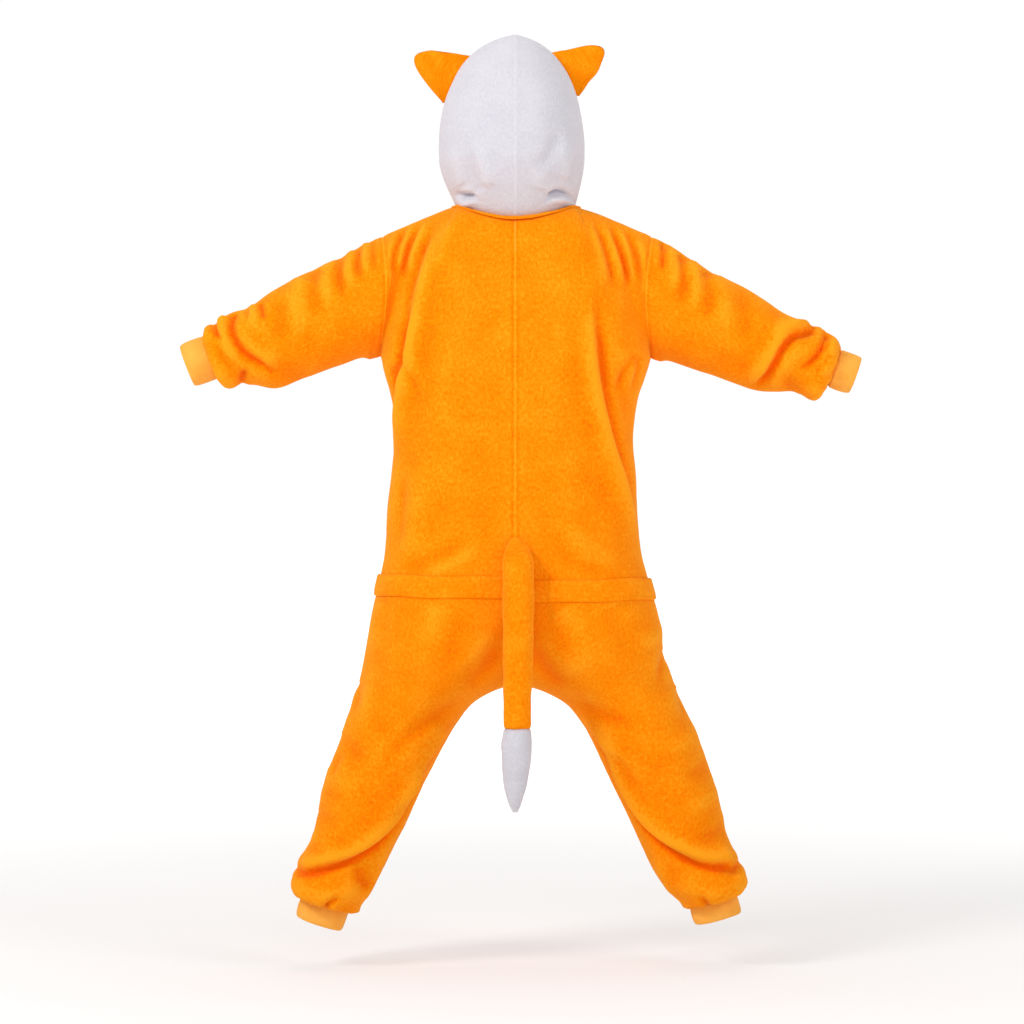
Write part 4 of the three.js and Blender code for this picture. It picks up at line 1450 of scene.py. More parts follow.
def seam_dip(points: Points, seams: Seams, seed: int = 1) -> Points:
    """The dip of the cloth beside its seams, a little puckered.

    Args:
        points: The panel's grid.
        seams: The depth at each edge.
        seed: The seed of the puckers.

    Returns:
        The relief, negative beside a seam.
    """
    rng = np.random.default_rng(seed)
    across, upward = lengths_along(points, 1), lengths_along(points, 0)
    total = np.zeros(points.shape[:2])
    edges = ((seams.start, across, upward), (seams.end, across[:, -1:] - across, upward),
             (seams.bottom, upward, across), (seams.top, upward[-1:] - upward, across))
    for depth, distance, along in edges:
        if depth == 0:
            continue
        pucker = sum(np.sin(along * 2 * math.pi / length + rng.uniform(0, 6))
                     for length in (17, 26, 41))
        total -= depth * np.exp(-(distance / 2.3) ** 2) + 0.16 * depth * np.exp(-distance / 6.5)
        total += 0.14 * depth * pucker * np.exp(-distance / 8.0) * ease(distance / 3.0)
    return total


def seam_shine(points: Points, seams: Seams, amount: float = 3.6) -> Points:
    """A painted highlight right beside each seam, as if its raised line caught the light, with a
    faint painted shade just beyond it.

    Args:
        points: A grid of points.
        seams: Which edges are seams.
        amount: How strong the painted highlight line is.

    Returns:
        What to add to the crest.
    """
    across, upward = lengths_along(points, 1), lengths_along(points, 0)
    total = np.zeros(points.shape[:2])
    for depth, distance in ((seams.start, across), (seams.end, across[:, -1:] - across),
                            (seams.top, upward[-1:] - upward)):
        if depth:
            line, beside = np.exp(-(distance / 1.2) ** 2), np.exp(-((distance - 3.4) / 1.6) ** 2)
            total += amount * (line - 0.5 * beside)
    return total


def body_grid(side: Side, face: Face, levels: Points, shares: Points) -> Points:
    """A grid on the body with evenly spaced columns."""
    dense = np.linspace(0, 1, 260)
    return np.stack([resample(body_row(side, face, dense, float(level)), shares)
                     for level in levels])


def armhole_normals(side: Side, points: Points) -> Points:
    """The directions square to the armhole seam, which the body and the sleeve share.

    Args:
        side: The half of the garment.
        points: Points on the seam.

    Returns:
        A unit vector for each point.
    """
    _, drop = SHOULDER_TIP[side]
    away = points - np.array([0.0, 0.0, (UNDERARM_Z - drop) / 2])
    away[..., 0] = 0
    return unit(away)


def leaned(normals: Points, edge: Points, distance: Points, reach: float = 8.0) -> Points:
    """Turns normals towards an edge's own near that edge.

    Args:
        normals: The grid's normals.
        edge: The edge's normals, which spread over the grid.
        distance: How far each point is from the edge.
        reach: How far the edge's normals count.

    Returns:
        The turned unit normals.
    """
    share = np.exp(-(distance / reach) ** 2)[..., None]
    turned = normals * (1 - share) + edge * share
    return unit(turned)


def flattened(normals: Points, axis: int) -> Points:
    """Normals with one coordinate taken out.

    Args:
        normals: The grid's outward unit normals.
        axis: The coordinate to take out.

    Returns:
        The unit normals that are left.
    """
    kept = normals.copy()
    kept[..., axis] = 0
    return unit(kept)


def outward(points: Points, normals: Points, middle: Points) -> Points:
    """Turns normals so that they point away from a middle line.

    Args:
        points: A grid of points.
        normals: Its unit normals, of either sense.
        middle: Points inside, beside the grid's points.

    Returns:
        The normals, all turned or all kept.
    """
    away = ((points - middle) * normals).sum(axis=2)
    flip = np.sign(np.median(np.sign(away)))
    return normals * (flip if flip != 0 else 1)


def tube_normals(points: Points) -> Points:
    """Makes a tube's last column its first again, and gives the outward normals.

    Args:
        points: The tube's grid, which is closed in place.

    Returns:
        The unit normals.
    """
    points[:, -1] = points[:, 0]
    return outward(points, grid_normals(points, closed=True), points.mean(axis=1, keepdims=True))


@dataclass
class BodyPanel:
    """One panel of the trunk and legs.

    low and high are its levels, seams the depth of the seam at each edge.
    """

    name: str
    side: Side
    face: Face
    low: float
    high: float
    seams: Seams
    gathers: float = 0.0

    def cut(self) -> Cut:
        """Makes the panel's grid with its folds and seams.

        Returns:
            The dressed cut.
        """
        levels = even_levels(self.side, self.face, self.low, self.high)
        row = body_row(self.side, self.face, np.linspace(0, 1, 200), max(self.low, 1.2))
        widest = float(np.linalg.norm(np.diff(row, axis=0), axis=1).sum())
        points = body_grid(self.side, self.face, levels, spaced(widest, GRAIN))
        points = self.settled(points)
        normals = outward(points, grid_normals(points), self.middle(points))
        normals = self.seam_normals(points, normals, levels)
        cut = Cut(self.name, points, normals)
        inseam = lengths_along(points, 1)
        inseam = inseam[:, -1:] - inseam
        steady = 1 - 0.8 * np.exp(-(inseam / 17) ** 2) * (levels < 1.1)[:, None]
        relief = BODY_DRAPE.height(points, normals) * steady
        relief += seam_dip(points, self.seams, len(self.name))
        if self.gathers:
            relief += cuff_gathers(points, self.gathers, from_bottom=True)
        cut.dress(relief)
        # Adds the painted highlight line beside the seams.
        cut.crest = cut.crest + seam_shine(points, self.seams)
        return cut

    def settled(self, points: Points) -> Points:
        """Eases the turn from the trunk into the leg.

        Args:
            points: A grid of points.

        Returns:
            The eased grid.
        """
        share = np.linspace(0, 1, points.shape[1])[None, :]
        near = np.exp(-((points[..., 2] - CROTCH_Z) / 26) ** 2) * (1 - ease((share - 0.78) / 0.2))
        soft = np.stack([blurred(points[..., k], 5, False) for k in range(3)], axis=-1)
        near[[0, -1]] = 0
        near[:, [0, -1]] = 0
        near *= ease(np.minimum(share, 1 - share) * 12)
        return points + (soft - points) * near[..., None]

    def seam_normals(self, points: Points, normals: Points, levels: Points) -> Points:
        """Squares the normals to the seams, so that both pieces of a seam move together.

        Args:
            points: A grid of points.
            normals: The grid's outward unit normals.
            levels: The level of each row.

        Returns:
            The squared normals.
        """
        across, upward = lengths_along(points, 1), lengths_along(points, 0)
        start = flattened(normals[:, :1], 1)
        above = (levels > 2)[:, None, None]
        start = np.where(above, armhole_normals(self.side, points[:, :1]), start)
        end = np.where((levels < 1)[:, None, None], flattened(normals[:, -1:], 1),
                       flattened(normals[:, -1:], 0))
        normals = leaned(normals, start, across)
        normals = leaned(normals, end, across[:, -1:] - across)
        if self.high >= 3:
            seam = np.abs(points[-1:, :, 1:2]) < 0.5
            top = np.where(seam, flattened(normals[-1:], 1), normals[-1:])
            normals = leaned(normals, top, upward[-1:] - upward)
        return normals

    def middle(self, points: Points) -> Points:
        """A line inside the garment beside each row."""
        return FLAT * points.mean(axis=1, keepdims=True)

    def build(self, wardrobe: Wardrobe) -> bpy.types.Object:
        """Makes the panel's object.

        Args:
            wardrobe: The garment's finishes.

        Returns:
            The finished panel.
        """
        cut = self.cut()
        trim_edges(cut)
        piece = sew(cut, CLOTH, wardrobe.orange)
        finish_cloth(piece, cut, Slot.ORANGE, self.name)
        return piece


def trim_edges(cut: Cut) -> None:
    """Draws a cut's edges in by the seam's gap.

    Args:
        cut: The cut, which is changed in place.
    """
    points = cut.points
    pairs = ((np.s_[:, 0], np.s_[:, 1]), (np.s_[:, -1], np.s_[:, -2]), (np.s_[0], np.s_[1]),
             (np.s_[-1], np.s_[-2]))
    for edge, inner in pairs[0 if not cut.closed else 2:]:
        step = points[inner] - points[edge]
        size = np.maximum(np.linalg.norm(step, axis=-1, keepdims=True), 1e-6)
        points[edge] = points[edge] + step / size * SEAM_GAP


def cuff_gathers(points: Points, height: float, from_bottom: bool) -> Points:
    """Small uneven gathers where wide cloth is drawn into a cuff.

    Args:
        points: The cloth's grid.
        height: The gathers' relief at the cuff.
        from_bottom: Whether the cuff is at the first row, else at the last.

    Returns:
        The relief.
    """
    upward = lengths_along(points, 0)
    distance = upward if from_bottom else upward[-1:] - upward
    middle = points.mean(axis=1, keepdims=True)
    away = points - middle
    angle = np.arctan2(away[..., 1], away[..., 0])
    waves = (np.sin(13 * angle + 0.7) + 0.7 * np.sin(21 * angle + 2.1)
             + 0.5 * np.sin(8 * angle + 4.0))
    return height * 0.45 * waves * np.exp(-distance / 11) * ease(distance / 2.0 + 0.25)


# ---------------------------------------------------------------- sleeves and cuffs


@dataclass
class Sleeve:
    """A set-in sleeve as one tube, from the armhole to the wrist cuff."""

    side: Side

    def axis(self) -> tuple[Points, Points, Points]:
        """The start of the sleeve's axis, its direction and its upward square.

        Returns:
            A point and two unit vectors.
        """
        (x0, z0), (x1, z1) = SLEEVE_AXIS[self.side]
        direction = np.array([x1 - x0, 0.0, z1 - z0])
        direction /= np.linalg.norm(direction)
        upward = np.array([-direction[2] * self.side.value, 0.0, direction[0] * self.side.value])
        return np.array([x0, 0.0, z0]), direction, upward

    def ring(self, climbs: Points, faces: Points, along: float) -> Points:
        """Points of one ring of the sleeve.

        Args:
            climbs: From 0 under the arm to 1 on top.
            faces: -1 on the back and 1 on the front of each point.
            along: The ring's place along the axis.

        Returns:
            The ring's points.
        """
        rows = SLEEVES[self.side]
        start, direction, upward = self.axis()
        height = -np.cos(math.pi * climbs)
        place = float(np.clip(along, rows[0].along, rows[-1].along))
        up, down, depth = (float(column(rows, "along", name, place))
                           for name in ("up", "down", "depth"))
        rise = np.where(height > 0, height * up, height * down)
        side_reach = faces * depth * np.sin(math.pi * climbs)
        flat = start + rise[:, None] * upward + side_reach[:, None] * FORWARD
        sheets = [Face.BACK if turn < 0 else Face.FRONT for turn in faces]
        seam = np.stack([yoke_point(self.side, face, np.zeros(1), float(climb))[0]
                         for climb, face in zip(climbs, sheets)])
        share = 1 - float(ease(along / ARMHOLE_BLEND))
        first = start + self.first_ring(climbs, faces)
        return flat + along * direction + (seam - first) * share

    def first_ring(self, climbs: Points, faces: Points) -> Points:
        """The axis-square ring at the armhole, about the axis.

        Args:
            climbs: From 0 under the arm to 1 on top.
            faces: -1 on the back and 1 on the front of each point.

        Returns:
            The ring's points, from the axis.
        """
        rows = SLEEVES[self.side]
        _, _, upward = self.axis()
        height = -np.cos(math.pi * climbs)
        rise = np.where(height > 0, height * rows[0].up, height * rows[0].down)
        side_reach = faces * rows[0].depth * np.sin(math.pi * climbs)
        return rise[:, None] * upward + side_reach[:, None] * FORWARD

    def cut(self) -> Cut:
        """Makes the sleeve's grid with its folds.

        Returns:
            The dressed cut.
        """
        half = np.linspace(0, 1, 56)
        climbs = np.concatenate([half, half[-2::-1]])
        faces = np.concatenate([-np.ones(len(half)), np.ones(len(half) - 1)])
        faces[[0, -1]] = 0
        last = SLEEVES[self.side][-1].along
        stations = spaced(last, 3.2) * last
        points = np.stack([self.ring(climbs, faces, float(along)) for along in stations])
        points[:, -1] = points[:, 0]
        shares = np.linspace(0, 1, 112)
        points = np.stack([resample(row, shares) for row in points])
        normals = tube_normals(points)
        cut = Cut(f"sleeve_{self.side.word}", points, normals, closed=True)
        away = lengths_along(points, 0)
        normals = leaned(normals, armhole_normals(self.side, points[:1]), away)
        cut.normals = normals
        relief = BODY_DRAPE.height(points, normals)
        relief += seam_dip(points, Seams(bottom=0.9, top=1.0), 4 + self.side.value)
        relief += cuff_gathers(points, 2.0, from_bottom=False)
        relief[:, -1] = relief[:, 0]
        cut.dress(relief)
        # Adds the painted highlight line beside the armhole seam.
        cut.crest = cut.crest + seam_shine(points[::-1], Seams(top=1.0))[::-1]
        cut.points[:, -1] = cut.points[:, 0]
        return cut

    def build(self, wardrobe: Wardrobe) -> bpy.types.Object:
        """Makes the sleeve's object.

        Args:
            wardrobe: The garment's finishes.

        Returns:
            The finished sleeve.
        """
        cut = self.cut()
        trim_edges(cut)
        cut.points[:, -1] = cut.points[:, 0]
        piece = sew(cut, CLOTH, wardrobe.orange)
        finish_cloth(piece, cut, Slot.ORANGE, cut.name)
        return piece


@dataclass
class Cuff:
    """A knitted cuff: a short tube with a turned, slightly rolled edge."""

    name: str
    start: Pair
    finish: Pair
    radius: float
    end_radius: float
    tuck: float = 6.0

    def cut(self) -> Cut:
        """Makes the cuff's grid.

        Returns:
            The cuff's cut.
        """
        begin = np.array([self.start[0], 0.0, self.start[1]])
        end = np.array([self.finish[0], 0.0, self.finish[1]])
        length = float(np.linalg.norm(end - begin))
        direction = (end - begin) / length
        begin, length = begin - self.tuck * direction, length + self.tuck
        across = np.array([direction[2], 0.0, -direction[0]])
        turn = np.linspace(0, 2 * math.pi, 97)
        shares = np.concatenate([np.linspace(0, 0.9, 18), [0.94, 0.97, 0.99, 1.0]])
        rows = []
        for share in shares:
            belly = 0.9 * math.sin(math.pi * share) - 1.6 * share ** 14
            wave = 0.5 * np.sin(3 * turn + 4 * share) + 0.35 * np.sin(5 * turn + 1.3)
            reach = mix(self.radius, self.end_radius, share) + belly + wave * share
            reach = reach - 3.4 * (1 - float(ease(share * length / self.tuck)))
            around = np.cos(turn)[:, None] * across + np.sin(turn)[:, None] * FORWARD
            rows.append(begin + share * length * direction + reach[:, None] * around)
        points = np.stack(rows)
        normals = tube_normals(points)
        return Cut(self.name, points, normals, closed=True)

    def build(self, wardrobe: Wardrobe) -> bpy.types.Object:
        """Makes the cuff's object.

        Args:
            wardrobe: The garment's finishes.

        Returns:
            The finished cuff.
        """
        cut = self.cut()
        piece = sew(cut, RIB, wardrobe.rib)
        finish_cloth(piece, cut, Slot.RIB, self.name)
        return piece


# ---------------------------------------------------------------- hood


@dataclass(frozen=True)
class HoodForm:
    """The hood's form: half widths, depths, and how its crown and neck close."""

    middle: float = 75
    top: float = 212
    left: float = 97
    right: float = 88
    neck_zone: float = 60
    back: float = 98
    face: float = 92
    roundness: float = 2.25
    crown_back: float = 0.42
    crown_face: float = 0.66
    brow_drop: float = 20
    face_edge: float = 0.74
    neck_share: float = 0.32

    def row(self, side: Side, u: Points, climb: float) -> Points:
        """Points from the middle back (u 0) to the face edge (u 1).

        Args:
            side: The half of the hood.
            u: Places along the row.
            climb: From 0 at the neck to 1 at the crown.

        Returns:
            The row's points.
        """
        upper = float(np.clip((climb - self.neck_share) / (1 - self.neck_share), 0, 1))
        if climb < self.neck_share:
            z = self.middle * climb / self.neck_share
        else:
            z = self.middle + (self.top - self.middle) * math.sin(math.pi / 2 * upper)
        closing = max(0.0, math.cos(math.pi / 2 * upper)) ** (2 / self.roundness)
        near_neck = float(np.clip(1 - z / self.neck_zone, 0, 1)) ** 1.5
        width, neck = (self.left, NECK.left) if side is Side.LEFT else (self.right, NECK.right)
        half = mix(width, neck, near_neck) * closing
        back = mix(mix(self.back, NECK.back, near_neck), self.back * self.crown_back, 1 - closing)
        face = mix(mix(self.face, NECK.front, near_neck), self.face * self.crown_face, 1 - closing)
        face_z = float(mix(-self.brow_drop * (1 - closing) ** 2, -NECK.front_drop, near_neck))
        turn = u * 2
        rear = np.clip(turn, 0, 1) * math.pi / 2
        fuller = float(mix(0.9, 1, near_neck))
        back_points = np.stack([side.value * half * np.sin(rear) ** fuller,
                                -back * np.maximum(0, np.cos(rear)) ** fuller,
                                z - NECK.back_drop * near_neck * np.cos(rear) ** 2], axis=-1)
        fore = np.clip(turn - 1, 0, 1) * math.pi / 2
        edge = float(mix(self.face_edge, 0, near_neck))
        inward = (1 - np.cos(fore)) ** float(mix(1.2, 1, near_neck))
        face_points = np.stack([side.value * half * mix(1, edge, inward), face * np.sin(fore),
                                z + face_z * np.sin(fore) ** 2], axis=-1)
        return np.where((turn <= 1)[..., None], back_points, face_points)


HOOD = HoodForm()


@dataclass
class Hood:
    """The white hood: two halves, the turned hem of its face, and the neck binding."""

    form: HoodForm = HOOD
    hem_width: float = 19

    def grid(self, side: Side) -> tuple[Points, Points]:
        """The smooth grid of one half, and its normals.

        Args:
            side: The half of the hood.

        Returns:
            The points and their outward normals.
        """
        dense = np.linspace(0, 1, 500)
        probes = np.array([0.0, 0.5, 1.0])
        rows = np.stack([self.form.row(side, probes, float(climb)) for climb in dense])
        run = running(np.linalg.norm(np.diff(rows, axis=0), axis=2).mean(axis=1))
        climbs = np.interp(spaced(run[-1], 2.6) * run[-1], run, dense)
        across = np.linspace(0, 1, 300)
        shares = spaced(250, 2.6)
        points = np.stack([resample(self.form.row(side, across, float(climb)), shares)
                           for climb in climbs])
        points[..., 0] = side.value * np.maximum(SEAM_GAP, side.value * points[..., 0])
        normals = grid_normals(points)
        centre = np.array([0.0, 0.0, 70.0])
        normals = outward(points, normals, centre)
        normals[-1] = normals[-2]
        return points, normals

    def relief(self, points: Points, normals: Points) -> Points:
        """The folds and the raised middle seam of one half.

        Args:
            points: A grid of points.
            normals: The grid's outward unit normals.

        Returns:
            The relief at each point.
        """
        total = HOOD_DRAPE.height(points, normals)
        total *= ease((self.form.top - points[..., 2]) / 40) * 0.9 + 0.1
        across = lengths_along(points, 1)
        total += 1.0 * np.exp(-(across / 5.0) ** 2) - 0.5 * np.exp(-(across / 1.6) ** 2)
        return total

    def build_half(self, side: Side, wardrobe: Wardrobe) -> bpy.types.Object:
        """Makes one half of the hood.

        Args:
            side: The half of the garment.
            wardrobe: The garment's finishes.

        Returns:
            The finished half.
        """
        points, normals = self.grid(side)
        cut = Cut(f"hood_{side.word}", points, normals)
        cut.dress(self.relief(points, normals))
        # Adds the painted highlight line beside the middle seam.
        cut.crest = cut.crest + seam_shine(points, Seams(start=1.0), 2.0)
        cut.points[..., 0] = side.value * np.maximum(SEAM_GAP, side.value * cut.points[..., 0])
        cut.points[0, :, 2] += 2 * SEAM_GAP
        piece = sew(cut, CLOTH, wardrobe.white)
        finish_cloth(piece, cut, Slot.WHITE, cut.name)
        return piece

    def build_hem(self, side: Side, wardrobe: Wardrobe) -> bpy.types.Object:
        """Makes the turned hem, which lies on the hood along its face edge.

        Args:
            side: The half of the garment.
            wardrobe: The garment's finishes.

        Returns:
            The finished hem.
        """
        points, normals = self.grid(side)
        relief = self.relief(points, normals)
        across = lengths_along(points, 1)
        left = across[:, -1:] - across
        columns = np.where(left[len(left) // 2] < self.hem_width)[0]
        height = points[:, -1, 2]
        rows = np.where((height > 14))[0][:-2]
        part = np.ix_(rows, columns)
        share = np.linspace(0, 1, len(columns))[None, :]
        belly = 1.5 * np.sin(math.pi * share) ** 0.8 + 0.3
        cut = Cut(f"hood_hem_{side.word}", points[part], normals[part])
        cut.dress(relief[part] + belly)
        piece = sew(cut, CLOTH * 0.8, wardrobe.white, inward=False)
        finish_cloth(piece, cut, Slot.WHITE, cut.name)
        return piece

    def build_binding(self, wardrobe: Wardrobe) -> bpy.types.Object:
        """Makes the narrow orange strip that covers the back neck seam, shoulder to shoulder.

        Args:
            wardrobe: The garment's finishes.

        Returns:
            The finished binding.
        """
        reaches = np.array([0.6, 1.0, 1.8, 3.2, 5.0, 7.0, 9.0, 10.8, 12.0, 12.8, 13.2])
        halves = []
        for side in (Side.RIGHT, Side.LEFT):
            u = np.linspace(SHOULDER_SHARE, 1, 46)
            edge = top_edge(side, Face.BACK, u)
            down = yoke_point(side, Face.BACK, u, 0.9) - edge
            along = top_edge(side, Face.BACK, np.array([0.4])) - edge[:1]
            turn = ease((u - SHOULDER_SHARE) / 0.09)[:, None]
            way = along / np.linalg.norm(along) * (1 - turn) + down / np.linalg.norm(
                down, axis=1, keepdims=True) * turn
            way /= np.linalg.norm(way, axis=1, keepdims=True)
            narrow = mix(0.5, 1.0, ease((u - SHOULDER_SHARE) / 0.12))[None, :, None]
            rows = edge[None] + way[None] * reaches[::-1, None, None] * narrow
            halves.append(rows[:, :-1] if side is Side.RIGHT else rows[:, ::-1])
        points = np.concatenate(halves, axis=1)
        normals = outward(points, grid_normals(points), np.array([0.0, 0.0, -60.0]))
        cut = Cut("neck_binding", points, normals)
        across = ((reaches[::-1] - reaches.mean()) / (np.ptp(reaches) / 2))[:, None]
        belly = np.sqrt(np.clip(1 - across ** 4, 0, 1))
        wobble = 0.18 * np.sin(np.arange(points.shape[1]) * 0.7)[None, :]
        cut.dress(BODY_DRAPE.height(points, normals) - 0.3 + (1.5 + wobble) * belly
                  + 0.5 * np.exp(-((across - 0.8) / 0.2) ** 2))
        piece = sew(cut, 1.2, wardrobe.orange, inward=False)
        finish_cloth(piece, cut, Slot.ORANGE, "neck_binding")
        return piece

    def build(self, wardrobe: Wardrobe) -> None:
        """Makes the whole hood.

        Args:
            wardrobe: The garment's finishes.
        """
        for side in Side:
            self.build_half(side, wardrobe)
            self.build_hem(side, wardrobe)
        self.build_binding(wardrobe)


# ---------------------------------------------------------------- ears and tail


@dataclass
class Ear:
    """A padded, two-sided ear with a rounded tip, sewn to the hood's side."""

    name: str
    top: Pair
    bottom: Pair
    corner: Pair
    rounding: float = 60.0
    pad: float = 8.0
    y: float = 2.0

    def outline(self, share: float) -> Points:
        """The ear's free edge, from its lower root (0) round the tip to its upper root (1).

        Args:
            share: A place from 0 to 1.

        Returns:
            The point's x and z.
        """
        tip = np.array(self.corner, float)
        first, last = (tip + (end - tip) / np.linalg.norm(end - tip) * self.rounding
                       for end in (np.array(self.bottom, float), np.array(self.top, float)))
        if share < 0.3:
            return mix(np.array(self.bottom, float), first, share / 0.3)
        if share > 0.7:
            return mix(last, np.array(self.top, float), (share - 0.7) / 0.3)
        turn = (share - 0.3) / 0.4
        return mix(mix(first, tip, turn), mix(tip, last, turn), turn)

    def root(self, share: float) -> Points:
        """The root line, on the hood's side.

        Args:
            share: A place from the root's lower end, 0, to its upper end, 1.

        Returns:
            The point's x and z.
        """
        side = Side.RIGHT if self.corner[0] > 0 else Side.LEFT
        z = float(mix(self.bottom[1], self.top[1], share))
        climbs = np.linspace(0, 1, 400)
        rows = np.stack([HOOD.row(side, np.array([0.5]), float(climb))[0] for climb in climbs])
        x = float(np.interp(z, rows[:, 2], np.abs(rows[:, 0])))
        return np.array([side.value * (x - 1.0), z])

    def build(self, wardrobe: Wardrobe) -> bpy.types.Object:
        """Makes the ear as two puffed faces joined at a seam.

        Args:
            wardrobe: The garment's finishes.

        Returns:
            The finished ear.
        """
        count, deep = 44, 26
        roots = [self.root(float(share)) for share in np.linspace(0.01, 0.99, count)]
        rims = [self.outline(float(share)) for share in np.linspace(0.01, 0.99, count)]
        rows = []
        for index, row in enumerate(np.concatenate([[0.0], np.linspace(0, 1, deep)])):
            line = np.array([root + (rim - root) * row for root, rim in zip(roots, rims)])
            share = np.linspace(0, 1, count)
            edge = np.minimum(np.minimum(share, 1 - share) * 2.4, (1 - row) * 1.25)
            puff = self.pad * rounded(edge) * (index > 0)
            rows.append(np.stack([line[:, 0], puff, line[:, 1]], axis=1))
        front = np.stack(rows)
        back = front * np.array([1.0, -1.0, 1.0])
        loop = np.concatenate([front, back[:, ::-1]], axis=1)
        loop[..., 1] += self.y
        loop = np.concatenate([loop, loop[:, :1]], axis=1)
        normals = tube_normals(loop)
        rng = np.random.default_rng(len(self.name))
        wave = sum(np.sin(loop @ (rng.normal(size=3) * 0.11) + rng.uniform(0, 6)) for _ in range(5))
        cut = Cut(self.name, loop, normals, closed=True)
        cut.dress(0.35 * wave * (np.arange(len(loop)) > 0)[:, None])
        cut.points[:, -1] = cut.points[:, 0]
        return stuffed(cut, wardrobe.orange)


def stuffed(cut: Cut, material: bpy.types.Material) -> bpy.types.Object:
    """Makes a closed stuffed piece from a tube of points whose ends are capped.

    Args:
        cut: The tube.
        material: Its finish.

    Returns:
        The padded object.
    """
    piece = lay_grid(cut)
    weld(piece)
    bpy.ops.mesh.select_all(action="DESELECT")
    bpy.ops.mesh.select_non_manifold(extend=False, use_wire=True, use_boundary=True)
    bpy.ops.mesh.fill_holes(sides=0)
    bpy.ops.object.mode_set(mode="OBJECT")
    bpy.ops.object.shade_smooth()
    dye(piece, material)
    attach(piece, "root")
    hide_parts(cut.name)
    log.info("%s: %d faces", piece.name, len(piece.data.polygons))
    return piece


@dataclass
class Tail:
    """The slim stuffed tail: an orange length and a white tip, joined by a drawn-in seam."""

    join_z: float = -652.5
    around: int = 72

    def tube(self, name: str, top: float, bottom: float, joined_top: bool) -> Cut:
        """A length of the tail.

        Args:
            name: The piece's name.
            top: Its upper height.
            bottom: Its lower height.
            joined_top: Whether the seam is at its top, else at its bottom.

        Returns:
            The length's grid.
        """
        spread = np.linspace(0, 1, int(abs(top - bottom) / 2.2))
        if joined_top:
            shares = 1 - (1 - spread) ** 1.35
        else:
            shares = spread ** 1.3
        heights = mix(top, bottom, shares)
        turn = np.linspace(0, 2 * math.pi, self.around + 1)
        rows = []
        for z in heights:
            at = {key: float(column(TAIL, "z", key, z)) for key in ("x", "half", "thick", "behind")}
            rows.append(np.stack([at["x"] + at["half"] * np.cos(turn),
                                  -at["behind"] + at["thick"] * np.sin(turn),
                                  np.full_like(turn, z)], axis=1))
        points = np.stack(rows)
        normals = tube_normals(points)
        cut = Cut(name, points, normals, closed=True)
        seam = np.abs(points[..., 2] - self.join_z)
        relief = -1.7 * np.exp(-(seam / 2.2) ** 2) - 0.5 * np.exp(-seam / 8)
        rng = np.random.default_rng(len(name))
        for length, height in ((46, 0.25), (27, 0.18), (16, 0.14)):
            for _ in range(3):
                wave = rng.normal(size=3)
                wave *= 2 * math.pi / (length * np.linalg.norm(wave))
                relief = relief + height * np.sin(points @ wave + rng.uniform(0, 6))
        for angle in (0.0, math.pi):
            across = np.abs(np.angle(np.exp(1j * (turn - angle))))[None, :] * 19
            relief = relief - 0.5 * np.exp(-(across / 2.2) ** 2)
        level = points[..., 2]
        cut.dress(relief * ease((TAIL[0].z - level) / 24) * ease((level - TAIL[-1].z) / 16))
        cut.points[:, -1] = cut.points[:, 0]
        return cut

    def build(self, wardrobe: Wardrobe) -> None:
        """Makes both lengths of the tail.

        Args:
            wardrobe: The garment's finishes.
        """
        length = self.tube("tail", TAIL[0].z, self.join_z + SEAM_GAP, False)
        tip = self.tube("tail_tip", self.join_z - SEAM_GAP, TAIL[-1].z, True)
        stuffed(length, wardrobe.orange)
        stuffed(tip, wardrobe.white)


# ---------------------------------------------------------------- band, placket, buttons


@dataclass
class SeatBand:
    """One half of the drop-seat band, lying on the back over the waist seam."""

    side: Side
    top: float
    bottom: float

    def build(self, wardrobe: Wardrobe) -> bpy.types.Object:
        """Makes the band from the back's own points, moved out.

        Args:
            wardrobe: The garment's finishes.

        Returns:
            The finished half band.
        """
        shares_up = np.concatenate([[0, 0.03, 0.07, 0.13], np.linspace(0.2, 0.8, 7),
                                    [0.87, 0.93, 0.97, 1]])
        dense = np.linspace(0, 1, 300)
        rows = []
        for share in shares_up:
            z = float(mix(self.bottom, self.top, share))
            line = body_row(self.side, Face.BACK, dense, level_of(z))
            rows.append(resample(line, np.linspace(0, 0.9985, 76)))
        points = np.stack(rows)
        normals = outward(points, grid_normals(points), FLAT
                          * points.mean(axis=1, keepdims=True))
        cut = Cut(f"seat_band_{self.side.word}", points, normals)
        body = BODY_DRAPE.height(points, normals)
        across = lengths_along(points, 1)
        roll = (0.82 * np.sqrt(np.clip(1 - (2 * shares_up - 1) ** 6, 0, 1))
                + 0.3 * np.exp(-((shares_up - 0.93) / 0.05) ** 2))[:, None]
        end = rounded(across / 9)
        droop = 0.5 * np.sin(across / 23) + 0.35 * np.sin(across / 9.5 + 1)
        stitch = -0.7 * np.exp(-((shares_up[:, None] - 0.12) / 0.035) ** 2)
        cut.dress(body + 0.2 + (1.7 + 0.3 * droop) * roll * end + stitch * end)
        sway = 1.1 * np.sin(across / 37) + 0.7 * np.sin(across / 15 + 2)
        cut.points = cut.points + UPWARD * sway[..., None] * end[..., None] * 0.8
        piece = sew(cut, 2.2, wardrobe.orange, inward=False)
        finish_cloth(piece, cut, Slot.ORANGE, cut.name)
        return piece


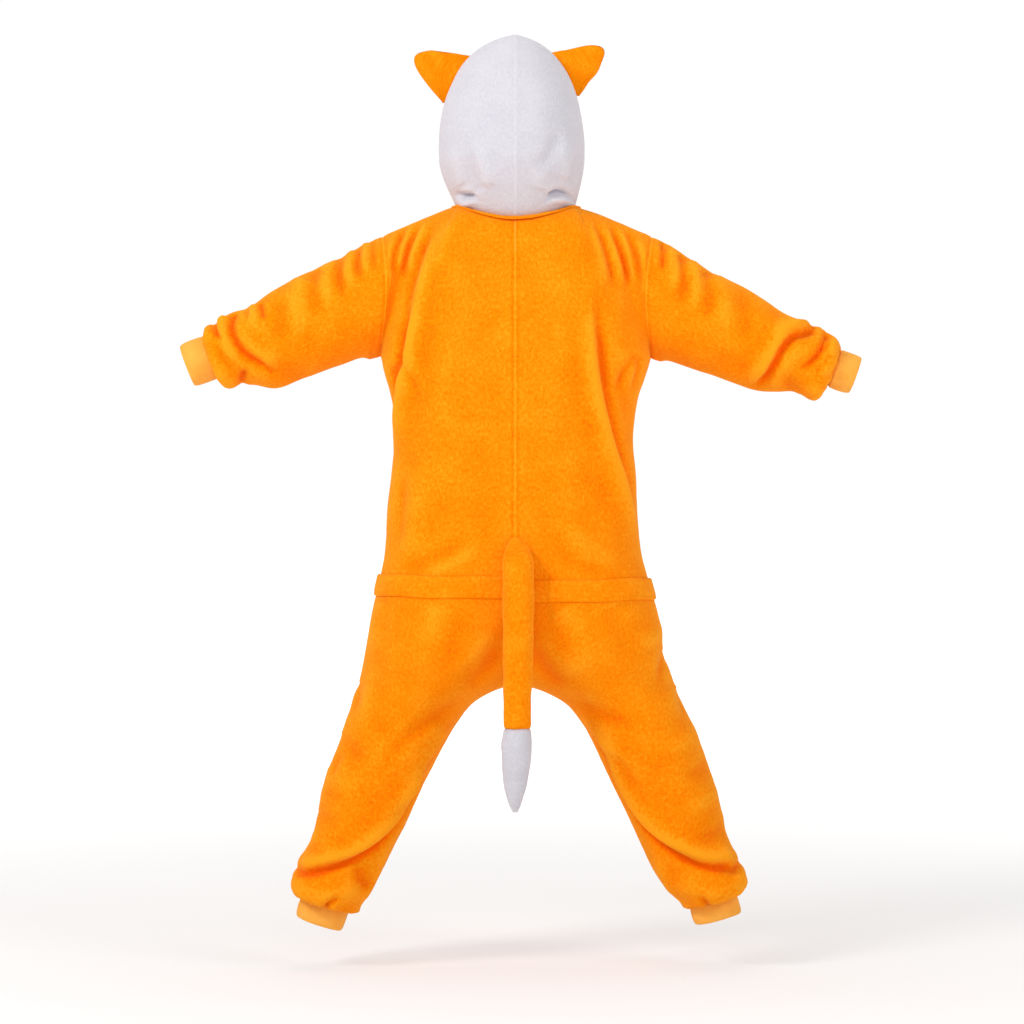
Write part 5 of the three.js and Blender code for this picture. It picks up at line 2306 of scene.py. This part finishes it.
@dataclass
class FrontClosing:
    """The placket down the middle of the front, with its buttons."""

    half: float = 17
    top: float = -56
    bottom: float = -430
    first_button: float = -80
    last_button: float = -405
    count: int = 5
    gap: float = 1.0

    def spot(self, x: float, z: float) -> Points:
        """The front's smooth point at a sideways place and height.

        Args:
            x: The sideways place.
            z: The height.

        Returns:
            The point.
        """
        side = Side.LEFT if x < 0 else Side.RIGHT
        u = np.linspace(0.6, 1, 160)
        if level_of(z) <= 2:
            row = body_row(side, Face.FRONT, u, level_of(z))
        else:
            climbs = np.linspace(0, 1, 160)
            stack = np.stack([yoke_point(side, Face.FRONT, u, float(climb)) for climb in climbs])
            row = np.stack([[np.interp(z, stack[:, k, 2], stack[:, k, axis]) for axis in range(3)]
                            for k in range(len(u))])
        return np.array([x, float(np.interp(-abs(x), -np.abs(row[:, 0]), row[:, 1])), z])

    def grid(self) -> tuple[Points, Points]:
        """The placket's smooth grid and its normals.

        Returns:
            The points and their outward normals.
        """
        heights = np.linspace(self.bottom, self.top, 104)
        across = np.array([-1, -0.96, -0.9, -0.8, -0.6, -0.4, -0.2, 0, 0.2, 0.4, 0.6, 0.8, 0.9,
                           0.96, 1])
        coarse = np.linspace(self.bottom, self.top, 36)
        knots = np.stack([[self.spot(float(a) * self.half, float(z)) for a in across]
                          for z in coarse])
        points = np.stack([[[a * self.half, np.interp(z, coarse, knots[:, k, 1]), z]
                            for k, a in enumerate(across)] for z in heights])
        return points, outward(points, grid_normals(points), FLAT * points)

    def build(self, wardrobe: Wardrobe) -> None:
        """Makes the placket and its buttons.

        Args:
            wardrobe: The garment's finishes.
        """
        points, normals = self.grid()
        cut = Cut("front_placket", points, normals)
        body = BODY_DRAPE.height(points, normals)
        share = np.abs(points[..., 0]) / self.half
        roll = np.sqrt(np.clip(1 - share ** 6, 0, 1))
        stitch = -0.5 * np.exp(-((share - 0.78) / 0.05) ** 2)
        relief = body + self.gap + 1.6 * roll + stitch
        cut.dress(relief)
        piece = sew(cut, 2.4, wardrobe.orange, inward=False)
        finish_cloth(piece, cut, Slot.ORANGE, "front_placket")
        master = self.model_button(wardrobe)
        for index, z in enumerate(np.linspace(self.first_button, self.last_button, self.count)):
            row = int(np.argmin(np.abs(points[:, 7, 2] - z)))
            centre = cut.points[row, 7] + cut.normals[row, 7] * 2.6
            self.place_button(master, f"button_{index + 1}", centre, cut.normals[row, 7])
        bpy.data.objects.remove(master)

    def model_button(self, wardrobe: Wardrobe) -> bpy.types.Object:
        """Models one dished button with its thread, facing +Z at the origin.

        Args:
            wardrobe: The garment's finishes.

        Returns:
            The button, to be copied.
        """
        deselect()
        bpy.ops.mesh.primitive_cylinder_add(vertices=48, radius=8.3 * MM, depth=2.8 * MM,
                                            location=(0, 0, 1.6 * MM))
        button = bpy.context.active_object
        bpy.ops.object.mode_set(mode="EDIT")
        bpy.ops.mesh.select_mode(type="FACE")
        bpy.ops.mesh.select_all(action="DESELECT")
        bpy.ops.object.mode_set(mode="OBJECT")
        for polygon in button.data.polygons:
            polygon.select = polygon.normal.z > 0.9
        bpy.ops.object.mode_set(mode="EDIT")
        bpy.ops.mesh.inset(thickness=1.7 * MM, depth=0)
        bpy.ops.mesh.inset(thickness=0.5 * MM, depth=-0.8 * MM)
        bpy.ops.object.mode_set(mode="OBJECT")
        apply_modifier(button, "BEVEL", width=0.5 * MM, segments=3, limit_method="ANGLE")
        button.data.materials.append(wardrobe.plastic)
        threads = []
        for turn in (0.25, 0.75):
            deselect()
            bpy.ops.mesh.primitive_torus_add(major_radius=1.5 * MM, minor_radius=0.42 * MM,
                                             major_segments=20, minor_segments=8,
                                             location=(0, 0, 2.35 * MM),
                                             rotation=(math.pi / 2, 0, turn * math.pi))
            threads.append(bpy.context.active_object)
            threads[-1].data.materials.append(wardrobe.rib)
        activate(button)
        for thread in threads:
            thread.select_set(True)
        bpy.ops.object.join()
        bpy.ops.object.transform_apply(location=True, rotation=True, scale=True)
        bpy.ops.object.shade_smooth_by_angle(angle=math.radians(35))
        return button

    def place_button(self, master: bpy.types.Object, name: str, centre: Points,
                     normal: Points) -> None:
        """Copies the button to its place on the placket.

        Args:
            master: The modelled button.
            name: The copy's name.
            centre: Where its underside lies, in millimetres.
            normal: Which way it faces.
        """
        button = master.copy()
        button.data = master.data.copy()
        button.name = button.data.name = name
        bpy.context.scene.collection.objects.link(button)
        turn = Vector((0, 0, 1)).rotation_difference(Vector([float(part) for part in normal]))
        matrix = turn.to_matrix().to_4x4()
        matrix.translation = Vector([float(part) * MM for part in centre])
        button.data.transform(matrix)
        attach(button, "root")
        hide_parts(name)
        log.info("%s placed", name)


# ---------------------------------------------------------------- the studio


@dataclass(frozen=True)
class Softbox:
    """One large soft lamp."""

    name: str
    place: Triple
    target: Triple
    size: float
    watts: float


@dataclass
class Studio:
    """The pale floor, the even light and the camera behind the wearer."""

    distance: float = 4.2
    width: float = 1.3005
    centre: Pair = (-0.0038, -0.3874)
    sky: float = 0.30
    backdrop: float = 0.80
    lamps: tuple[Softbox, ...] = (
        Softbox("key", (-2.3, -2.3, 1.8), (0, 0, -0.35), 1.1, 72),
        Softbox("fill", (2.7, -2.2, 1.2), (0, 0, -0.45), 1.4, 30),
        Softbox("front", (0.2, -4.4, 0.9), (0, 0, -0.45), 2.0, 30),
        Softbox("top", (0.0, 0.1, 2.4), (0, 0, -0.9), 1.6, 14),
    )

    def build(self) -> None:
        """Makes the floor, light and camera."""
        self.floor()
        self.light()
        self.camera()

    def floor(self) -> None:
        """A wide plain pale floor under the garment; it glows, least beneath the garment, which
        paints a soft shadow there, and its glow lights the garment from below.
        """
        deselect()
        bpy.ops.mesh.primitive_plane_add(size=80, location=(0, 0, FLOOR_Z * MM))
        ground = bpy.context.active_object
        ground.name = "floor"
        sheet = NodeSheet("floor_paper")
        give(sheet.shader, {"Base Color": (0.50, 0.485, 0.475, 1), "Emission Color": (1, 1, 1, 1),
                            "Roughness": 0.9, "Specular IOR Level": 0.0})
        # Painted shadow: the glow rises from its least near the garment to full far away.
        length = sheet.nodes.new("ShaderNodeVectorMath")
        length.operation = "LENGTH"
        sheet.link(sheet.place(uv=False, scale=(1, 1, 1)), length.inputs[0])
        glow = sheet.nodes.new("ShaderNodeMapRange")
        glow.interpolation_type = "SMOOTHSTEP"
        give(glow, {"From Min": 0.2, "From Max": 4.6, "To Min": 0.46, "To Max": 1.0})
        sheet.link(length.outputs["Value"], glow.inputs["Value"])
        sheet.link(glow.outputs["Result"], sheet.shader.inputs["Emission Strength"])
        ground.data.materials.append(sheet.material)

    def light(self) -> None:
        """Makes even white surroundings and the softboxes."""
        scene = bpy.context.scene
        world = bpy.data.worlds.new("studio_white")
        world.use_nodes = True
        scene.world = world
        nodes, links = world.node_tree.nodes, world.node_tree.links
        background = nodes["Background"]
        background.inputs["Color"].default_value = (1, 1, 1, 1)
        where = nodes.new("ShaderNodeTexCoord")
        parts = nodes.new("ShaderNodeSeparateXYZ")
        links.new(where.outputs["Generated"], parts.inputs["Vector"])
        glow = nodes.new("ShaderNodeMapRange")
        give(glow, {"From Min": -0.6, "From Max": 0.9, "To Min": self.sky, "To Max": self.backdrop})
        links.new(parts.outputs["Y"], glow.inputs["Value"])
        links.new(glow.outputs["Result"], background.inputs["Strength"])
        seen = nodes.new("ShaderNodeBackground")
        give(seen, {"Color": (1, 1, 1, 1), "Strength": 1.02})
        path = nodes.new("ShaderNodeLightPath")
        blend = nodes.new("ShaderNodeMixShader")
        links.new(path.outputs["Is Camera Ray"], blend.inputs["Fac"])
        links.new(background.outputs["Background"], blend.inputs[1])
        links.new(seen.outputs["Background"], blend.inputs[2])
        links.new(blend.outputs["Shader"], nodes["World Output"].inputs["Surface"])
        for lamp in self.lamps:
            data = bpy.data.lights.new(lamp.name, "AREA")
            data.shape = "SQUARE"
            data.size = lamp.size
            data.energy = lamp.watts
            softbox = bpy.data.objects.new(lamp.name, data)
            softbox.location = lamp.place
            aim = Vector(lamp.target) - Vector(lamp.place)
            softbox.rotation_euler = aim.to_track_quat("-Z", "Y").to_euler()
            scene.collection.objects.link(softbox)
        scene.view_settings.view_transform = "Standard"
        scene.view_settings.look = "None"

    def camera(self) -> None:
        """A long lens level with the garment's middle, straight behind the wearer."""
        data = bpy.data.cameras.new("camera")
        data.sensor_width = 36
        data.lens = data.sensor_width * self.distance / self.width
        data.clip_end = 200
        camera = bpy.data.objects.new("camera", data)
        camera.location = (self.centre[0], -self.distance, self.centre[1])
        camera.rotation_euler = (math.pi / 2, 0, 0)
        bpy.context.scene.collection.objects.link(camera)
        bpy.context.scene.camera = camera


# ---------------------------------------------------------------- the whole garment


def cuffs() -> tuple[Cuff, ...]:
    """The four knitted cuffs.

    Returns:
        The cuffs, still to be built.
    """
    return (
        Cuff("wrist_cuff_left", (-388, -191.5), (-416, -202), 28, 28),
        Cuff("wrist_cuff_right", (408, -205.5), (432, -214), 24.5, 24.5),
        Cuff("ankle_cuff_left", (-241, -885), (-249, -909), 31, 31),
        Cuff("ankle_cuff_right", (252, -881), (258, -903), 30, 31),
    )


def body_panels() -> list[BodyPanel]:
    """The panels of the trunk and legs.

    Returns:
        The panels, still to be built.
    """
    waist = level_of(WAIST_Z)
    panels = []
    for side in Side:
        panels.append(BodyPanel(f"back_{side.word}", side, Face.BACK, waist, 3.0,
                                Seams(start=0.9, end=0.8, top=0.9)))
        panels.append(BodyPanel(f"leg_back_{side.word}", side, Face.BACK, 0.0, waist,
                                Seams(start=0.9, end=0.8, bottom=1.0), gathers=2.2))
        panels.append(BodyPanel(f"front_{side.word}", side, Face.FRONT, 0.0, 3.0,
                                Seams(start=0.9, end=0.8, bottom=1.0, top=0.9), gathers=2.2))
    return panels


def main() -> None:
    """Builds the studio and every piece, in order."""
    logging.basicConfig(level=logging.INFO, format="%(message)s")
    Studio().build()
    wardrobe = Wardrobe()
    for panel in body_panels():
        panel.build(wardrobe)
    for side in Side:
        Sleeve(side).build(wardrobe)
    for cuff in cuffs():
        cuff.build(wardrobe)
    Hood().build(wardrobe)
    Ear("ear_left", (-60, 193), (-91, 131), (-151, 206)).build(wardrobe)
    Ear("ear_right", (53, 197), (81, 140), (136, 217)).build(wardrobe)
    Tail().build(wardrobe)
    SeatBand(Side.LEFT, -468, -492).build(wardrobe)
    SeatBand(Side.RIGHT, -473, -497).build(wardrobe)
    FrontClosing().build(wardrobe)
    deselect()


if __name__ == "__main__":
    main()
